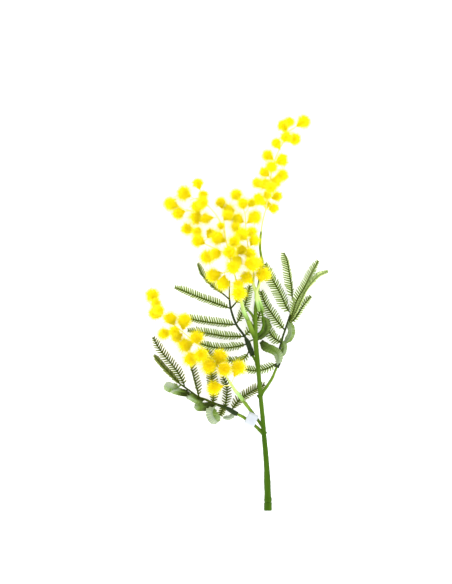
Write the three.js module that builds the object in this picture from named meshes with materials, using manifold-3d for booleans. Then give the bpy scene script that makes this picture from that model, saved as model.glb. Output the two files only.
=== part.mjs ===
// Mimosa sprig: a moulded artificial spray that lies on a table, in millimetres, +Z up.
// The layout is drawn from the middle of the stem's cut end: X to the right, Y along the stem, Z up
// from the table.
// Points are [x, y, z] or, where a round section goes with them, [x, y, z, radius].
import * as THREE from "three";
import { mergeVertices } from "three/addons/utils/BufferGeometryUtils.js";
import Module from "manifold-3d";

// Driving dimensions
const LEAFLET = 6.2; // length of a leaflet from its rib
const LEAFLET_PITCH = 4.7; // along the rib
const LEAFLET_LEAN = 18; // degrees from square to the rib, towards the tip
const LEAFLET_THICK = 0.6;
const END_LEAFLET = [0.55, 0.5]; // the first and the last leaflets of a pinna, as a share of the longest
const FULL_WITHIN = [0.15, 0.19]; // shares of the pinna over which they grow to full length
const RIB_HALF = [0.75, 0.42]; // half width of a pinna's rib at its base and at its tip
const RIB_THICK = [1.3, 0.8];
const RACHIS_SIDES = 6;
const STEM_SIDES = 8;
const SHOOT_SIDES = 6;
const STALK_SIDES = 5;
const PEDICEL_RADIUS = 0.75;
const PEDICEL_LEAN = 0.55; // how far back along its twig a pedicel starts, as a share of its reach
const FURTHEST_BACK = 0.25; // and never nearer the twig's start than this share of the way
const NECK = 1.2; // where a head's tapered neck meets its pedicel, in head radii from its middle
const RELIEF = 0.9; // the hollows between a head's bumps, in head radii
const HEAD_GAP = 0.4; // clear between two heads
const FOLIAGE_TOP = 17; // heads over the leaves stay above this height
const LEAF_CLEAR = 1; // and count as over them within this distance of a leaflet's tip
const HEAD_LIFTS = [4, -3, 2, -1, 5, 0]; // heads in turn above and below their twig
const SEAT_DEPTH = 0.8; // a head on the table is flattened by this much
const PLUG_GAP = 0.45; // all round a peg in its sleeve
const TABLE = { width: 600, length: 1200, above: 200 }; // the room that the sprig lies in
const TAG = { width: 10.5, length: 13.5, thick: 0.6, over: 14.9, under: 10.1, at: [-16.6, 91.2], turn: 24 };

const MOULDED_GREEN = { color: "#4b820f", roughness: 0.5 };
const LEAF_GREEN = { color: "#3f5f1e", roughness: 0.6 };
const FLOCKED_YELLOW = { color: "#f0dc00", roughness: 0.9 };
const PAPER = { color: "#ebebf2", roughness: 0.8 };

const UP = new THREE.Vector3(0, 0, 1);

const wasm = await Module();
wasm.setup();

// Solids

// A closed solid of a list of points and triangles.
function solid(points, triangles) {
  const geometry = new THREE.BufferGeometry();
  geometry.setAttribute("position", new THREE.Float32BufferAttribute(points.flatMap((p) => p.toArray()), 3));
  geometry.setIndex(triangles.flat());
  return manifold(geometry);
}

function manifold(geometry) {
  const bare = geometry.clone();
  bare.deleteAttribute("normal");
  bare.deleteAttribute("uv");
  const merged = mergeVertices(bare, 1e-4);
  const vertProperties = merged.attributes.position.array;
  const triVerts = new Uint32Array(merged.index.array);
  return new wasm.Manifold(new wasm.Mesh({ numProp: 3, vertProperties, triVerts }));
}

function join(solids) {
  return solids.reduce((all, next) => all.add(next));
}

// The largest body of a joined solid: the scraps that cutting leaves are dropped.
function whole(body) {
  return body.decompose().reduce((best, next) => (next.volume() > best.volume() ? next : best));
}

function meshOf(name, body, finish) {
  const made = whole(body).getMesh();
  const geometry = new THREE.BufferGeometry();
  geometry.setAttribute("position", new THREE.Float32BufferAttribute(made.vertProperties, 3));
  geometry.setIndex(new THREE.Uint32BufferAttribute(made.triVerts, 1));
  geometry.computeVertexNormals();
  const mesh = new THREE.Mesh(geometry, new THREE.MeshStandardMaterial({ ...finish, metalness: 0 }));
  mesh.name = name;
  return mesh;
}

// Routes

const vector = ([x, y, z]) => new THREE.Vector3(x, y, z);

function curveOf(stations) {
  return new THREE.CatmullRomCurve3(stations.map(vector), false, "centripetal");
}

// Points along a route with the directions along it, to its left and up from it, which turn no more
// than the route does.
function framesAlong(curve, shares) {
  let left = null;
  return shares.map((share) => {
    const along = curve.getTangent(share);
    left = left ? left.clone() : new THREE.Vector3().crossVectors(UP, along);
    left.addScaledVector(along, -left.dot(along)).normalize();
    return { at: curve.getPoint(share), along, left, up: new THREE.Vector3().crossVectors(along, left) };
  });
}

// A round limb that passes through its stations, with a ring at each one and at the steps between them.
function limb(stations, sides, stepsPerSpan = 1) {
  const spans = stations.length - 1;
  const shares = Array.from({ length: spans * stepsPerSpan + 1 }, (_, i) => i / (spans * stepsPerSpan));
  const points = [];
  framesAlong(curveOf(stations), shares).forEach(({ at, left, up }, i) => {
    const span = Math.min(Math.floor(i / stepsPerSpan), spans - 1);
    const radius = THREE.MathUtils.lerp(stations[span][3], stations[span + 1][3], i / stepsPerSpan - span);
    for (let k = 0; k < sides; k++) {
      const angle = ((k + 0.5) / sides) * 2 * Math.PI;
      const outwards = left.clone().multiplyScalar(Math.sin(angle)).addScaledVector(up, -Math.cos(angle));
      points.push(at.clone().addScaledVector(outwards, radius));
    }
  });
  const triangles = [];
  const last = points.length - sides;
  for (let ring = 0; ring < last; ring += sides)
    for (let k = 0; k < sides; k++) {
      const [a, b] = [ring + k, ring + ((k + 1) % sides)];
      triangles.push([a, b, b + sides], [a, b + sides, a + sides]);
    }
  for (let k = 1; k < sides - 1; k++) triangles.push([0, k + 1, k], [last, last + k, last + k + 1]);
  return solid(points, triangles);
}

// The same route with every section wider by some amount, for the hole that a peg goes into.
function widened(stations, amount) {
  return stations.map(([x, y, z, radius]) => [x, y, z, radius + amount]);
}

// Fronds

// One pinna: a thin arched blade cut to its rib into leaflets on both sides.
// The leaflets on the left and on the right droop by their own angles; the first share of the rib is bare.
function pinna({ route, droop = [20, 20], bare = 0.05, reach = 1 }) {
  const curve = curveOf(route);
  const pairs = Math.max(4, Math.round(((1 - bare) * curve.getLength()) / LEAFLET_PITCH));
  const shares = [0, ...Array.from({ length: pairs + 1 }, (_, i) => bare + ((1 - bare) * i) / pairs)];
  const frames = framesAlong(curve, shares.map((share) => curve.getUtoTmapping(Math.min(share, 1))));
  const points = [];
  const triangles = [];
  frames.forEach(({ at, left, up }, i) => {
    const half = THREE.MathUtils.lerp(RIB_HALF[0], RIB_HALF[1], shares[i]);
    const thick = THREE.MathUtils.lerp(RIB_THICK[0], RIB_THICK[1], shares[i]) / 2;
    for (const [side, level] of [[1, 1], [-1, 1], [1, -1], [-1, -1]])
      points.push(at.clone().addScaledVector(left, side * half).addScaledVector(up, level * thick));
  });
  const lean = THREE.MathUtils.degToRad(LEAFLET_LEAN);
  // The tip of the leaflet on one side of a span, as its upper and lower points.
  const leafletTip = (span, side) => {
    const { left, up, along } = frames[span];
    const middle = frames[span].at.clone().lerp(frames[span + 1].at, 0.5);
    const share = (span - 0.5) / pairs;
    const grown = [share, 1 - share].map(
      (s, end) => END_LEAFLET[end] + ((1 - END_LEAFLET[end]) * s) / FULL_WITHIN[end],
    );
    const length = reach * LEAFLET * Math.min(1, ...grown);
    const fall = THREE.MathUtils.degToRad(droop[side > 0 ? 0 : 1]);
    const out = left.clone().multiplyScalar(side * Math.cos(fall)).addScaledVector(up, -Math.sin(fall));
    const face = up.clone().multiplyScalar(Math.cos(fall)).addScaledVector(left, side * Math.sin(fall));
    const reached = out.multiplyScalar(Math.cos(lean)).addScaledVector(along, Math.sin(lean));
    const tip = middle.addScaledVector(reached, length);
    const half = LEAFLET_THICK / 2;
    return [half, -half].map((level) => points.push(tip.clone().addScaledVector(face, level)) - 1);
  };
  for (let i = 0; i <= pairs; i++) {
    const [lt, rt, lb, rb] = [0, 1, 2, 3].map((k) => 4 * i + k);
    const [lt2, rt2, lb2, rb2] = [4, 5, 6, 7].map((k) => 4 * i + k);
    triangles.push([lt, rt, rt2], [lt, rt2, lt2], [lb, rb2, rb], [lb, lb2, rb2]);
    if (i === 0) {
      triangles.push([lt, lt2, lb2], [lt, lb2, lb], [rt, rb, rb2], [rt, rb2, rt2]);
      continue;
    }
    const [t, b] = leafletTip(i, 1);
    triangles.push([lt, lt2, t], [lb, b, lb2], [lt, t, b], [lt, b, lb], [t, lt2, lb2], [t, lb2, b]);
    const [u, d] = leafletTip(i, -1);
    triangles.push([rt, u, rt2], [rb, rb2, d], [rt, rb, d], [rt, d, u], [u, d, rb2], [u, rb2, rt2]);
  }
  const end = 4 * (pairs + 1);
  triangles.push([0, 2, 3], [0, 3, 1], [end, end + 3, end + 2], [end, end + 1, end + 3]);
  return solid(points, triangles);
}

// A frond: a sleeve that plugs over its peg, a rachis and the pinnae that grow from it.
function frond({ sleeve, peg, rachis, pinnae }) {
  const body = join([limb(sleeve, 8), limb(rachis, RACHIS_SIDES, 2), ...pinnae.map(pinna)]);
  return body.subtract(limb(widened(peg, PLUG_GAP), 8));
}

const FROND_A = {
  peg: [[-12, 149, 18.5, 1.3], [-15.2, 155, 14.6, 1.2], [-17.2, 160.6, 12.7, 1.1]],
  sleeve: [[-15.3, 155.3, 14.4, 2.4], [-17.4, 161, 12.8, 2.5], [-20.4, 169, 12.2, 1.9], [-22, 172, 12, 1.2]],
  rachis: [
    [-20, 168, 12.2, 1.5], [-23.3, 174.6, 12, 1.3], [-31.7, 186.5, 11.5, 1.15], [-37.3, 202.5, 11, 1.1],
    [-38.5, 212, 11, 0.9], [-38.6, 221, 10.5, 0.7], [-38.5, 230, 10, 0.6],
  ],
  pinnae: [
    {
      route: [
        [-38.4, 211.5, 11], [-46.7, 218.5, 10.5], [-54, 223.5, 10], [-61.6, 231, 9], [-67.4, 239, 8],
        [-70.4, 247.2, 7],
      ],
      bare: 0.19, droop: [25, 50],
    },
    {
      route: [
        [-37.3, 202.5, 11], [-40.6, 203.6, 10.8], [-59.7, 210.5, 10], [-71.2, 214.7, 9],
        [-82.7, 219.6, 7], [-93, 223.5, 4],
      ],
      droop: [45, 12],
    },
    {
      route: [[-31.7, 186.5, 11.5], [-43, 187, 11], [-56.2, 188.4, 10], [-67.7, 190, 8], [-82, 193, 5]],
      droop: [28, 15],
    },
    {
      route: [[-23.3, 174.6, 12], [-41, 174.6, 11], [-56.2, 177, 10], [-66.2, 178.6, 8], [-80, 180.3, 5]],
      droop: [35, 20],
    },
    {
      route: [[-21, 167, 12.2], [-33.3, 164, 11.5], [-44.7, 163, 11], [-56.2, 164, 10], [-68, 167.5, 8]],
      droop: [45, 15],
    },
    {
      route: [[-18.5, 162, 12.5], [-21, 156, 12], [-26.5, 151, 11], [-36, 150, 10], [-43, 151, 9]],
      bare: 0.18, droop: [40, 25],
    },
    {
      route: [[-36.8, 203, 11], [-30.5, 210.4, 11], [-27, 216, 10.5], [-24.5, 223, 10]],
      bare: 0.3, droop: [35, 35],
    },
    {
      route: [[-31, 188, 11.5], [-26.5, 196.5, 12], [-23, 206, 12.5], [-20.2, 217, 12], [-18, 225, 11.5]],
      droop: [40, 25],
    },
    { route: [[-23.5, 175, 12], [-19.7, 179, 12.5], [-11, 190, 13], [-6.5, 203.5, 12.5]], droop: [15, 15] },
    { // curls over to the right of the stem
      route: [
        [-20.5, 169, 12], [-14, 171.5, 11], [-7.5, 173.5, 10.5], [-2.5, 177.5, 13], [0.6, 183.5, 15],
        [-1, 190, 14.5], [-4, 193.5, 12.5],
      ],
      bare: 0.2, droop: [10, 30],
    },
  ],
};

const FROND_B = {
  peg: [[4.2, 133, 15.5, 1.3], [6.6, 138.5, 14.6, 1.2], [8.9, 144, 13.7, 1.1], [11, 148.6, 13, 1.1]],
  sleeve: [[8.7, 143.6, 13.8, 2.3], [10.9, 148.5, 13, 2.4], [13.2, 153.5, 12.4, 1.7], [13.6, 156, 12, 1.2]],
  rachis: [
    [12.6, 152, 12.5, 1.5], [13.5, 155, 12.2, 1.3], [11.6, 160.7, 12, 1.2], [13, 167, 12, 1.15],
    [14.8, 174, 12, 1.1], [18.8, 186, 12, 1.05], [22.8, 197.8, 12, 1], [26, 208.7, 11.5, 0.9],
    [26.6, 211.5, 11.5, 0.7],
  ],
  pinnae: [
    {
      route: [
        [26, 208.5, 11.5], [23.9, 216, 11.5], [23.9, 222, 11], [21.6, 236.6, 10], [19.4, 250, 8],
        [16.3, 258, 6],
      ],
      bare: 0.12, droop: [10, 62],
    },
    {
      route: [
        [26.3, 209.5, 11.5], [28.8, 214.3, 12], [36.8, 227.7, 11], [44.4, 239.7, 8.5], [50.4, 250.5, 5],
      ],
      droop: [25, 40],
    },
    {
      route: [
        [25.3, 205.5, 11.5], [32, 210.4, 10.5], [38.5, 216.4, 9.5], [44.2, 224.4, 8.5], [51.5, 232, 7],
        [59.6, 236.7, 4.5],
      ],
      droop: [40, 20],
    },
    {
      route: [[20.5, 190.5, 12], [24.1, 189.6, 11], [30.4, 197.3, 9], [34.4, 204, 7.5], [43, 214.5, 4]],
      droop: [35, 15],
    },
    {
      route: [
        [22.8, 197.8, 12], [18.8, 203, 12], [14.1, 213.6, 11.5], [8.3, 225, 10.5], [3.4, 233.5, 9.5],
        [-2.5, 247, 7],
      ],
      droop: [10, 55],
    },
    {
      route: [
        [16.8, 181, 12], [9, 190.2, 11], [4.1, 197.3, 9.5], [-1.7, 205.4, 8], [-5, 213, 7],
        [-7, 219.5, 6.5],
      ],
      droop: [10, 45],
    },
    {
      route: [[13.2, 168, 12], [9, 171, 9.5], [5.4, 173.7, 7.5], [1, 179.5, 5.5], [-1.5, 185, 5]],
      droop: [12, 12],
    },
    { // curls back on itself, left of its sleeve
      route: [
        [13, 156, 12], [10.6, 158.5, 14], [5.5, 160.5, 14.6], [0.5, 163.5, 12], [-3, 167, 7.5],
        [-4.5, 170.5, 4],
      ],
      droop: [20, 20],
    },
    {
      route: [
        [12.3, 152, 12.4], [8.5, 147.6, 10], [1, 143.1, 8], [-6.3, 140.8, 7.5], [-15, 140.2, 7],
        [-22.3, 141.5, 6],
      ],
      bare: 0.2, droop: [25, 15],
    },
    {
      route: [[18.5, 185, 12], [22.5, 185.6, 14.5], [25.4, 181, 15], [25.2, 176, 12.5], [21.5, 171.5, 9]],
      bare: 0.1, droop: [25, 25],
    },
    {
      route: [[14, 170, 12], [17.4, 168, 14.6], [19.2, 163.5, 14.6], [17.6, 158.5, 11]],
      bare: 0.1, droop: [25, 25], reach: 0.8,
    },
  ],
};

const FROND_C = {
  peg: [[-20, 90.4, 12, 1.3], [-26, 94.6, 11, 1.25], [-30.3, 96.6, 10, 1.2], [-35, 99, 9.4, 1.1]],
  sleeve: [[-30.5, 96.7, 9.9, 2.3], [-34.6, 98.8, 9.4, 2.4], [-38, 100.9, 9, 1.8], [-41, 102.6, 8.8, 1.2]],
  rachis: [
    [-37, 100.4, 9, 1.6], [-43.4, 103.8, 8.8, 1.4], [-50, 106, 8.7, 1.3], [-56.7, 108.7, 8.5, 1.2],
    [-63.4, 111.8, 8.3, 1.1], [-68.8, 113.6, 8, 1], [-79, 120.7, 7.6, 0.95], [-88, 127, 7, 0.8],
  ],
  pinnae: [
    {
      route: [
        [-87.5, 126.6, 7], [-90.5, 129.4, 6.5], [-96.2, 135, 5.5], [-104, 143, 5], [-109.6, 149.6, 4.5],
        [-113.4, 154.6, 4],
      ],
      droop: [62, 55],
    },
    {
      route: [
        [-83.5, 124, 7.4], [-84.7, 128.6, 9], [-90.5, 139, 10], [-96.2, 146.6, 10], [-102, 153.5, 10],
        [-110.5, 165, 9], [-114.8, 173.4, 8],
      ],
      droop: [20, 20],
    },
    {
      route: [[-69, 113.8, 8], [-71, 122, 8.5], [-73.2, 130.5, 8], [-77.1, 145, 7], [-79, 151, 6.5]],
      droop: [55, 15],
    },
    {
      route: [[-55, 108, 8.5], [-54.5, 113, 8], [-56.7, 135.5, 6], [-59.7, 158, 4.5], [-61.3, 162, 4]],
      droop: [20, 25],
    },
    {
      route: [[-42.7, 103.5, 8.8], [-41.1, 117.6, 8.5], [-41.6, 126.5, 8], [-45.3, 134.2, 7.5]],
      droop: [35, 40],
    },
    {
      route: [[-36.5, 101, 9], [-30, 109.6, 8.5], [-22.8, 115.4, 8], [-14.7, 120.4, 8], [-3.6, 126.2, 8]],
      droop: [20, 40],
    },
    // the curled ones, which leave the rachis upwards and bend over beside it
    {
      route: [
        [-87, 126, 7], [-90.5, 125, 10.5], [-96, 123.5, 12.5], [-100.8, 121.5, 10.5], [-102.5, 120, 6.5],
      ],
      bare: 0.1, droop: [12, 12], reach: 1.05,
    },
    {
      route: [[-81, 122, 7.4], [-83, 119, 11.5], [-86.5, 116.4, 12.8], [-89.5, 115, 10], [-90, 114.8, 6]],
      bare: 0.1, droop: [12, 12], reach: 0.95,
    },
    {
      route: [[-72, 115.8, 8], [-75.5, 114, 11], [-79, 112.5, 11.5], [-81.5, 111.6, 8.5]],
      bare: 0.1, droop: [25, 25], reach: 0.7,
    },
    {
      route: [
        [-60, 110.2, 8.4], [-62.5, 107, 11], [-67, 104.5, 11.8], [-71.5, 103.5, 9.5], [-73, 103.4, 5.5],
      ],
      bare: 0.1, droop: [15, 15], reach: 0.85,
    },
    {
      route: [
        [-52.5, 107, 8.6], [-53.5, 102.5, 11.5], [-54.5, 97.5, 13], [-55.5, 92.5, 11], [-56.5, 90.5, 7],
      ],
      bare: 0.08, droop: [10, 10], reach: 1.2,
    },
    {
      route: [[-45, 104.2, 8.7], [-46.5, 100.5, 8], [-47.6, 96.5, 6]],
      bare: 0.1, droop: [30, 30], reach: 0.55,
    },
    {
      route: [[-37, 100.4, 9], [-37.2, 97, 7], [-38.5, 94, 5.5], [-41.8, 92.3, 4]],
      bare: 0.1, droop: [10, 40], reach: 0.65,
    },
  ],
};

// Sprays of flower heads

// Each spray: its twigs, the first of which is its stalk, and its heads as [x, y, radius].
const SPRAY_TOP = {
  twigs: [
    [
      [-6.9, 273.5, 13.2, 0.65], [-6.7, 279.4, 13.2, 0.65], [-6.6, 281, 13.3, 1], [-5.6, 288, 14, 1],
      [-1.5, 305, 15, 1], [0.5, 318, 15, 1], [4, 341, 14, 0.95], [9.5, 358, 12, 0.9], [15, 368, 10, 0.8],
      [20, 379, 7.5, 0.75], [26.4, 383, 6, 0.7],
    ],
  ],
  heads: [
    [5.8, 302.5, 4.7], [-1.1, 306.5, 4], [-8.9, 311.5, 5.7], [9.3, 314.4, 4.7], [-0.4, 315.8, 4],
    [2.6, 322.7, 5], [-2.7, 326.5, 5.5], [-10.7, 328, 4.7], [7.8, 329, 5], [14.5, 335.7, 5.5],
    [-3.5, 338.7, 4.7], [3.5, 344, 5.3], [14.5, 351, 5.6], [-0.5, 355.8, 5], [8.5, 367.7, 4.7],
    [26.8, 372, 5.5], [18, 373.8, 5], [15.7, 385.7, 5.5], [21.5, 389.1, 4.5], [36, 389.5, 6],
  ],
};

const SPRAY_CENTRE = {
  twigs: [
    [
      [-6.1, 200.6, 20.4, 1.9], [-7.2, 205, 21.3, 1.9], [-11, 213.3, 23.4, 1.6], [-12.4, 221, 24, 1.3],
      [-13.7, 227, 24.2, 1.2], [-14, 238, 24, 1.1], [-17.5, 253, 23, 1], [-20.5, 268, 21, 0.9],
      [-22.2, 283, 18, 0.8], [-23, 297, 15, 0.7], [-27, 308, 12, 0.6],
    ],
    [[-9.4, 199.8, 23.4, 1.6], [-10.3, 206, 23.6, 1.5], [-11.4, 214.5, 23.6, 1.3]],
  ],
  heads: [
    [-21.1, 233.4, 6], [-5, 236.6, 6.7], [-16.4, 246.6, 6.8], [-10.2, 247.5, 5.7], [-18, 257, 5.5],
    [-12.7, 270.5, 5.3], [-26.5, 276.3, 6.3], [-16.3, 279, 4.8], [-32.5, 283.7, 4.6], [-30.4, 291.6, 5.6],
    [-13.1, 293.7, 6.3], [-25, 307.5, 5.2], [-16.5, 307.8, 4], [-31.7, 316.3, 5.4],
  ],
};

const SPRAY_LEFT = {
  twigs: [
    [
      [-20.3, 191.4, 22.4, 2.2], [-24.2, 199.5, 24, 2.1], [-26.7, 210, 26, 1.6], [-28, 214, 27, 1.3],
      [-32, 231, 29, 1.1], [-37, 249, 28, 1], [-41, 266, 25, 0.9], [-43.5, 283, 21, 0.8],
      [-44.5, 300, 16, 0.65],
    ],
    [[-33.5, 237, 29, 0.9], [-40, 239.5, 29, 0.75], [-48, 236.5, 28, 0.65]],
    [
      [-37.8, 252, 27.8, 0.9], [-46, 259, 27, 0.85], [-55, 263.3, 24.5, 0.8], [-64, 268, 21, 0.75],
      [-70, 276, 15, 0.7], [-75, 283, 10, 0.6],
    ],
    [
      [-41, 266, 25, 0.9], [-44, 279, 23.5, 0.85], [-50.1, 293.5, 21, 0.8], [-60.4, 305.6, 17.5, 0.75],
      [-70, 312.7, 12.5, 0.7], [-78, 311, 8.5, 0.6],
    ],
    [[-61, 306, 17.3, 0.75], [-72, 300, 12, 0.7], [-82, 301.5, 5, 0.6]],
  ],
  heads: [
    [-29.4, 217.6, 6.5], [-29.7, 226, 5], [-44.8, 227.5, 6.4], [-54.6, 235.7, 6.3], [-34.7, 244, 6.6],
    [-31.1, 250, 5.3], [-60.5, 254, 6.6], [-52.4, 257.3, 5.2], [-38.5, 258.8, 6.2], [-26.4, 261, 5],
    [-33.7, 269.4, 5.7], [-70.1, 270.3, 6], [-50.5, 273, 6.6], [-57.3, 278, 4.3], [-71, 279, 4.7],
    [-81, 281.8, 5.5], [-47.2, 285, 3.5], [-62.2, 292.4, 5], [-72.1, 293, 6.2], [-40, 295.2, 5],
    [-89.6, 298, 5.6], [-39.4, 301.2, 5.6], [-70.4, 304.6, 5.7], [-98, 307.3, 6], [-65.3, 308.5, 5.2],
    [-47.4, 308.5, 4.8], [-64.8, 315.7, 4.5], [-84, 318, 6.5], [-70.1, 327.8, 5],
  ],
};

const SPRAY_LOWER = {
  twigs: [
    [
      [-24.8, 110.3, 18.6, 2], [-28.6, 115.6, 20, 1.9], [-32.7, 120.4, 21.6, 1.6], [-37, 127, 23.5, 1.3],
      [-40.4, 132.3, 24.5, 1.2], [-54, 149, 26, 1.1], [-64, 162, 26, 1], [-78, 173, 24, 0.9],
      [-90, 183, 20, 0.8], [-103, 193, 11, 0.7], [-110, 203, 5.5, 0.6],
    ],
  ],
  heads: [
    [-53.6, 123.5, 6.3], [-44, 142, 6.6], [-29.8, 143.5, 6.8], [-59.2, 145.4, 7], [-77.4, 152.2, 6.5],
    [-48.2, 154.5, 6.6], [-66.7, 155.7, 6.7], [-83, 165.7, 6.7], [-71.5, 173.4, 6.3], [-91, 173.8, 5.3],
    [-104, 177.3, 5.5], [-93.6, 179.7, 5.2], [-84, 190.5, 6.5], [-97.6, 192.8, 6], [-112.9, 197.7, 6],
    [-108.7, 200.5, 4.7], [-112, 207.5, 4.7], [-115.8, 215.6, 6.2],
  ],
};

// Main stem

const STEM = [
  [0, 0, 3.6, 3.95], [0, 7.8, 3.65, 3.95], [0, 8.4, 3.7, 3.3], [0, 9.6, 3.75, 3.75], [0, 11.4, 3.8, 4],
  [-0.2, 14.5, 4.1, 3.4], [-0.3, 19.4, 4.6, 3.25], [-0.7, 28.3, 5.4, 3.45], [-1.2, 42, 6.8, 2.8],
  [-2.5, 60, 9, 2.7], [-4, 76, 11.3, 2.5], [-5.5, 95, 14, 2.3], [-7.2, 112, 16.2, 2.2],
  [-8.8, 131, 18.4, 2.15], [-10.7, 152, 20, 2.3], [-12, 163.3, 20.4, 2.5], [-12.5, 173, 20.5, 2.5],
  [-12.6, 191, 20.2, 2.1], [-12.2, 206, 19.5, 1.7], [-10.8, 216, 18.9, 1.5], [-9, 228, 18, 1.4],
  [-6.8, 239, 17, 1.35], [-5.4, 248, 16, 1.3], [-7, 256, 15.2, 1.3], [-7.9, 264, 14.2, 1.3],
  [-7.6, 273, 13.4, 1.45], [-6.8, 279.1, 13.2, 1.55],
];
const LEADER_BORE = [[-7.3, 272.8, 13.3, 1.02], [-6.9, 276, 13.2, 1.02], [-6.7, 281, 13.2, 1.02]];
const SHOOTS = [
  // the two low ones, to the lower left frond and to the lower spray
  [[-4.6, 77, 12, 2], [-8.5, 81, 12, 1.9], [-12.5, 84.8, 12.2, 1.6], ...FROND_C.peg],
  [
    [-5.2, 84, 13, 1.8], [-9, 89.4, 12.8, 1.5], [-13, 95, 12.6, 1.4], [-18, 101.4, 14, 1.3],
    [-24.4, 109.7, 18.3, 1.25], [-27.8, 114.2, 19.5, 1.15],
  ],
  // to the right frond and to the upper left frond
  [[-7.2, 115, 17, 1.9], [-5.3, 119, 16.8, 1.6], [-1.5, 124, 16.4, 1.35], ...FROND_B.peg],
  [[-11.4, 146, 19.6, 1.6], ...FROND_A.peg],
  // to the left spray and to the centre spray
  [
    [-12.4, 171.5, 20.6, 1.9], [-17.5, 183, 21.3, 1.6], [-20.6, 191.9, 22.5, 1.25],
    [-23.2, 197.4, 23.6, 1.15],
  ],
  [
    [-11.8, 175, 20.4, 1.6], [-6.8, 179.5, 20, 1.3], [-4.5, 186.6, 19.8, 1.15], [-5, 193, 19.8, 1.05],
    [-6.9, 204, 20.9, 0.95],
  ],
  // a bare side twig, and two small node bumps
  [[-12.7, 189, 19.8, 1.1], [-16.2, 196.5, 19.5, 0.95], [-21.8, 203, 19.8, 0.8]],
  [[-3.6, 77, 11.4, 1.6], [-1.9, 78.4, 11.5, 1.1]],
  [[-8.7, 113.5, 16.4, 1.6], [-10.4, 115.5, 16.5, 0.9]],
];
const SLEEVED = { left: SHOOTS[4], centre: SHOOTS[5], lower: SHOOTS[1] }; // the pegs of the side sprays

function mainStem() {
  const body = join([limb(STEM, STEM_SIDES), ...SHOOTS.map((shoot) => limb(shoot, SHOOT_SIDES))]);
  return body.subtract(limb(LEADER_BORE, 8));
}

// Heights of the heads: each starts above or below its twig, and what would touch something lower
// rises over it.

const SAMPLES = 40;
const ROUNDS = 30;

// Points along a route, each with the radius there.
function samplesOf(stations) {
  const radii = stations.map((station) => station[3] ?? 0);
  return curveOf(stations).getPoints(SAMPLES).map((p, i) => {
    const share = (i / SAMPLES) * (radii.length - 1);
    const span = Math.min(Math.floor(share), radii.length - 2);
    const radius = THREE.MathUtils.lerp(radii[span], radii[span + 1], share - span);
    return { x: p.x, y: p.y, z: p.z, radius };
  });
}

const flatDistance = (a, b) => Math.hypot(a.x - b.x, a.y - b.y);

// How far apart in height two round things have to be, from how far apart they are in plan.
function heightApart(a, b) {
  const clear = a.radius + b.radius + HEAD_GAP;
  const beside = flatDistance(a, b);
  return beside < clear ? Math.sqrt(clear * clear - beside * beside) : 0;
}

function placedHeads(sprays) {
  const foliage = [FROND_A, FROND_B, FROND_C].flatMap((leaf) => leaf.pinnae.map((p) => samplesOf(p.route)));
  const stems = [STEM, ...SHOOTS].map(samplesOf);
  const twigs = [...stems, ...sprays.flatMap((spray) => spray.twigs.map(samplesOf))].flat();
  const heads = sprays.flatMap((spray) =>
    spray.heads.map(([x, y, radius], i) => {
      const head = { spray, x, y, radius };
      const near = (a, b) => (flatDistance(b, head) < flatDistance(a, head) ? b : a);
      const twig = spray.twigs.flatMap(samplesOf).reduce(near);
      const covers = [...foliage, stems[0]].some((route) =>
        route.some((p) => flatDistance(p, head) < radius + LEAFLET + LEAF_CLEAR),
      );
      const lowest = covers ? FOLIAGE_TOP + radius : radius - SEAT_DEPTH;
      const under = twig.z - heightApart(twig, head);
      head.z = Math.max(lowest, twig.z + HEAD_LIFTS[i % HEAD_LIFTS.length]);
      if (head.z < twig.z && under > lowest) head.z = Math.min(head.z, under);
      return head;
    }),
  );
  for (let round = 0; round < ROUNDS; round++)
    for (const low of [...twigs, ...heads])
      for (const head of heads) {
        const apart = heightApart(low, head);
        const higher = head.z > low.z || (head.z > low.z - apart && !low.spray);
        if (low !== head && apart && higher) head.z = Math.max(head.z, low.z + apart);
      }
  return heads.map(({ spray, x, y, z, radius }) => ({ spray, radius, at: new THREE.Vector3(x, y, z) }));
}

// The root of a head's pedicel, on the nearest twig, and the way from the head's middle to its neck.
function seatOf({ at }, twigs) {
  let best = null;
  for (const twig of twigs) {
    const curve = curveOf(twig);
    for (let i = 0; i <= SAMPLES; i++) {
      const distance = curve.getPointAt(i / SAMPLES).distanceTo(at);
      if (!best || distance < best.distance) best = { curve, share: i / SAMPLES, distance };
    }
  }
  const back = (PEDICEL_LEAN * best.distance) / best.curve.getLength();
  const root = best.curve.getPointAt(Math.max(best.share - back, FURTHEST_BACK * best.share));
  const inward = root.clone().sub(at).normalize();
  return { root, inward };
}

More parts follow.
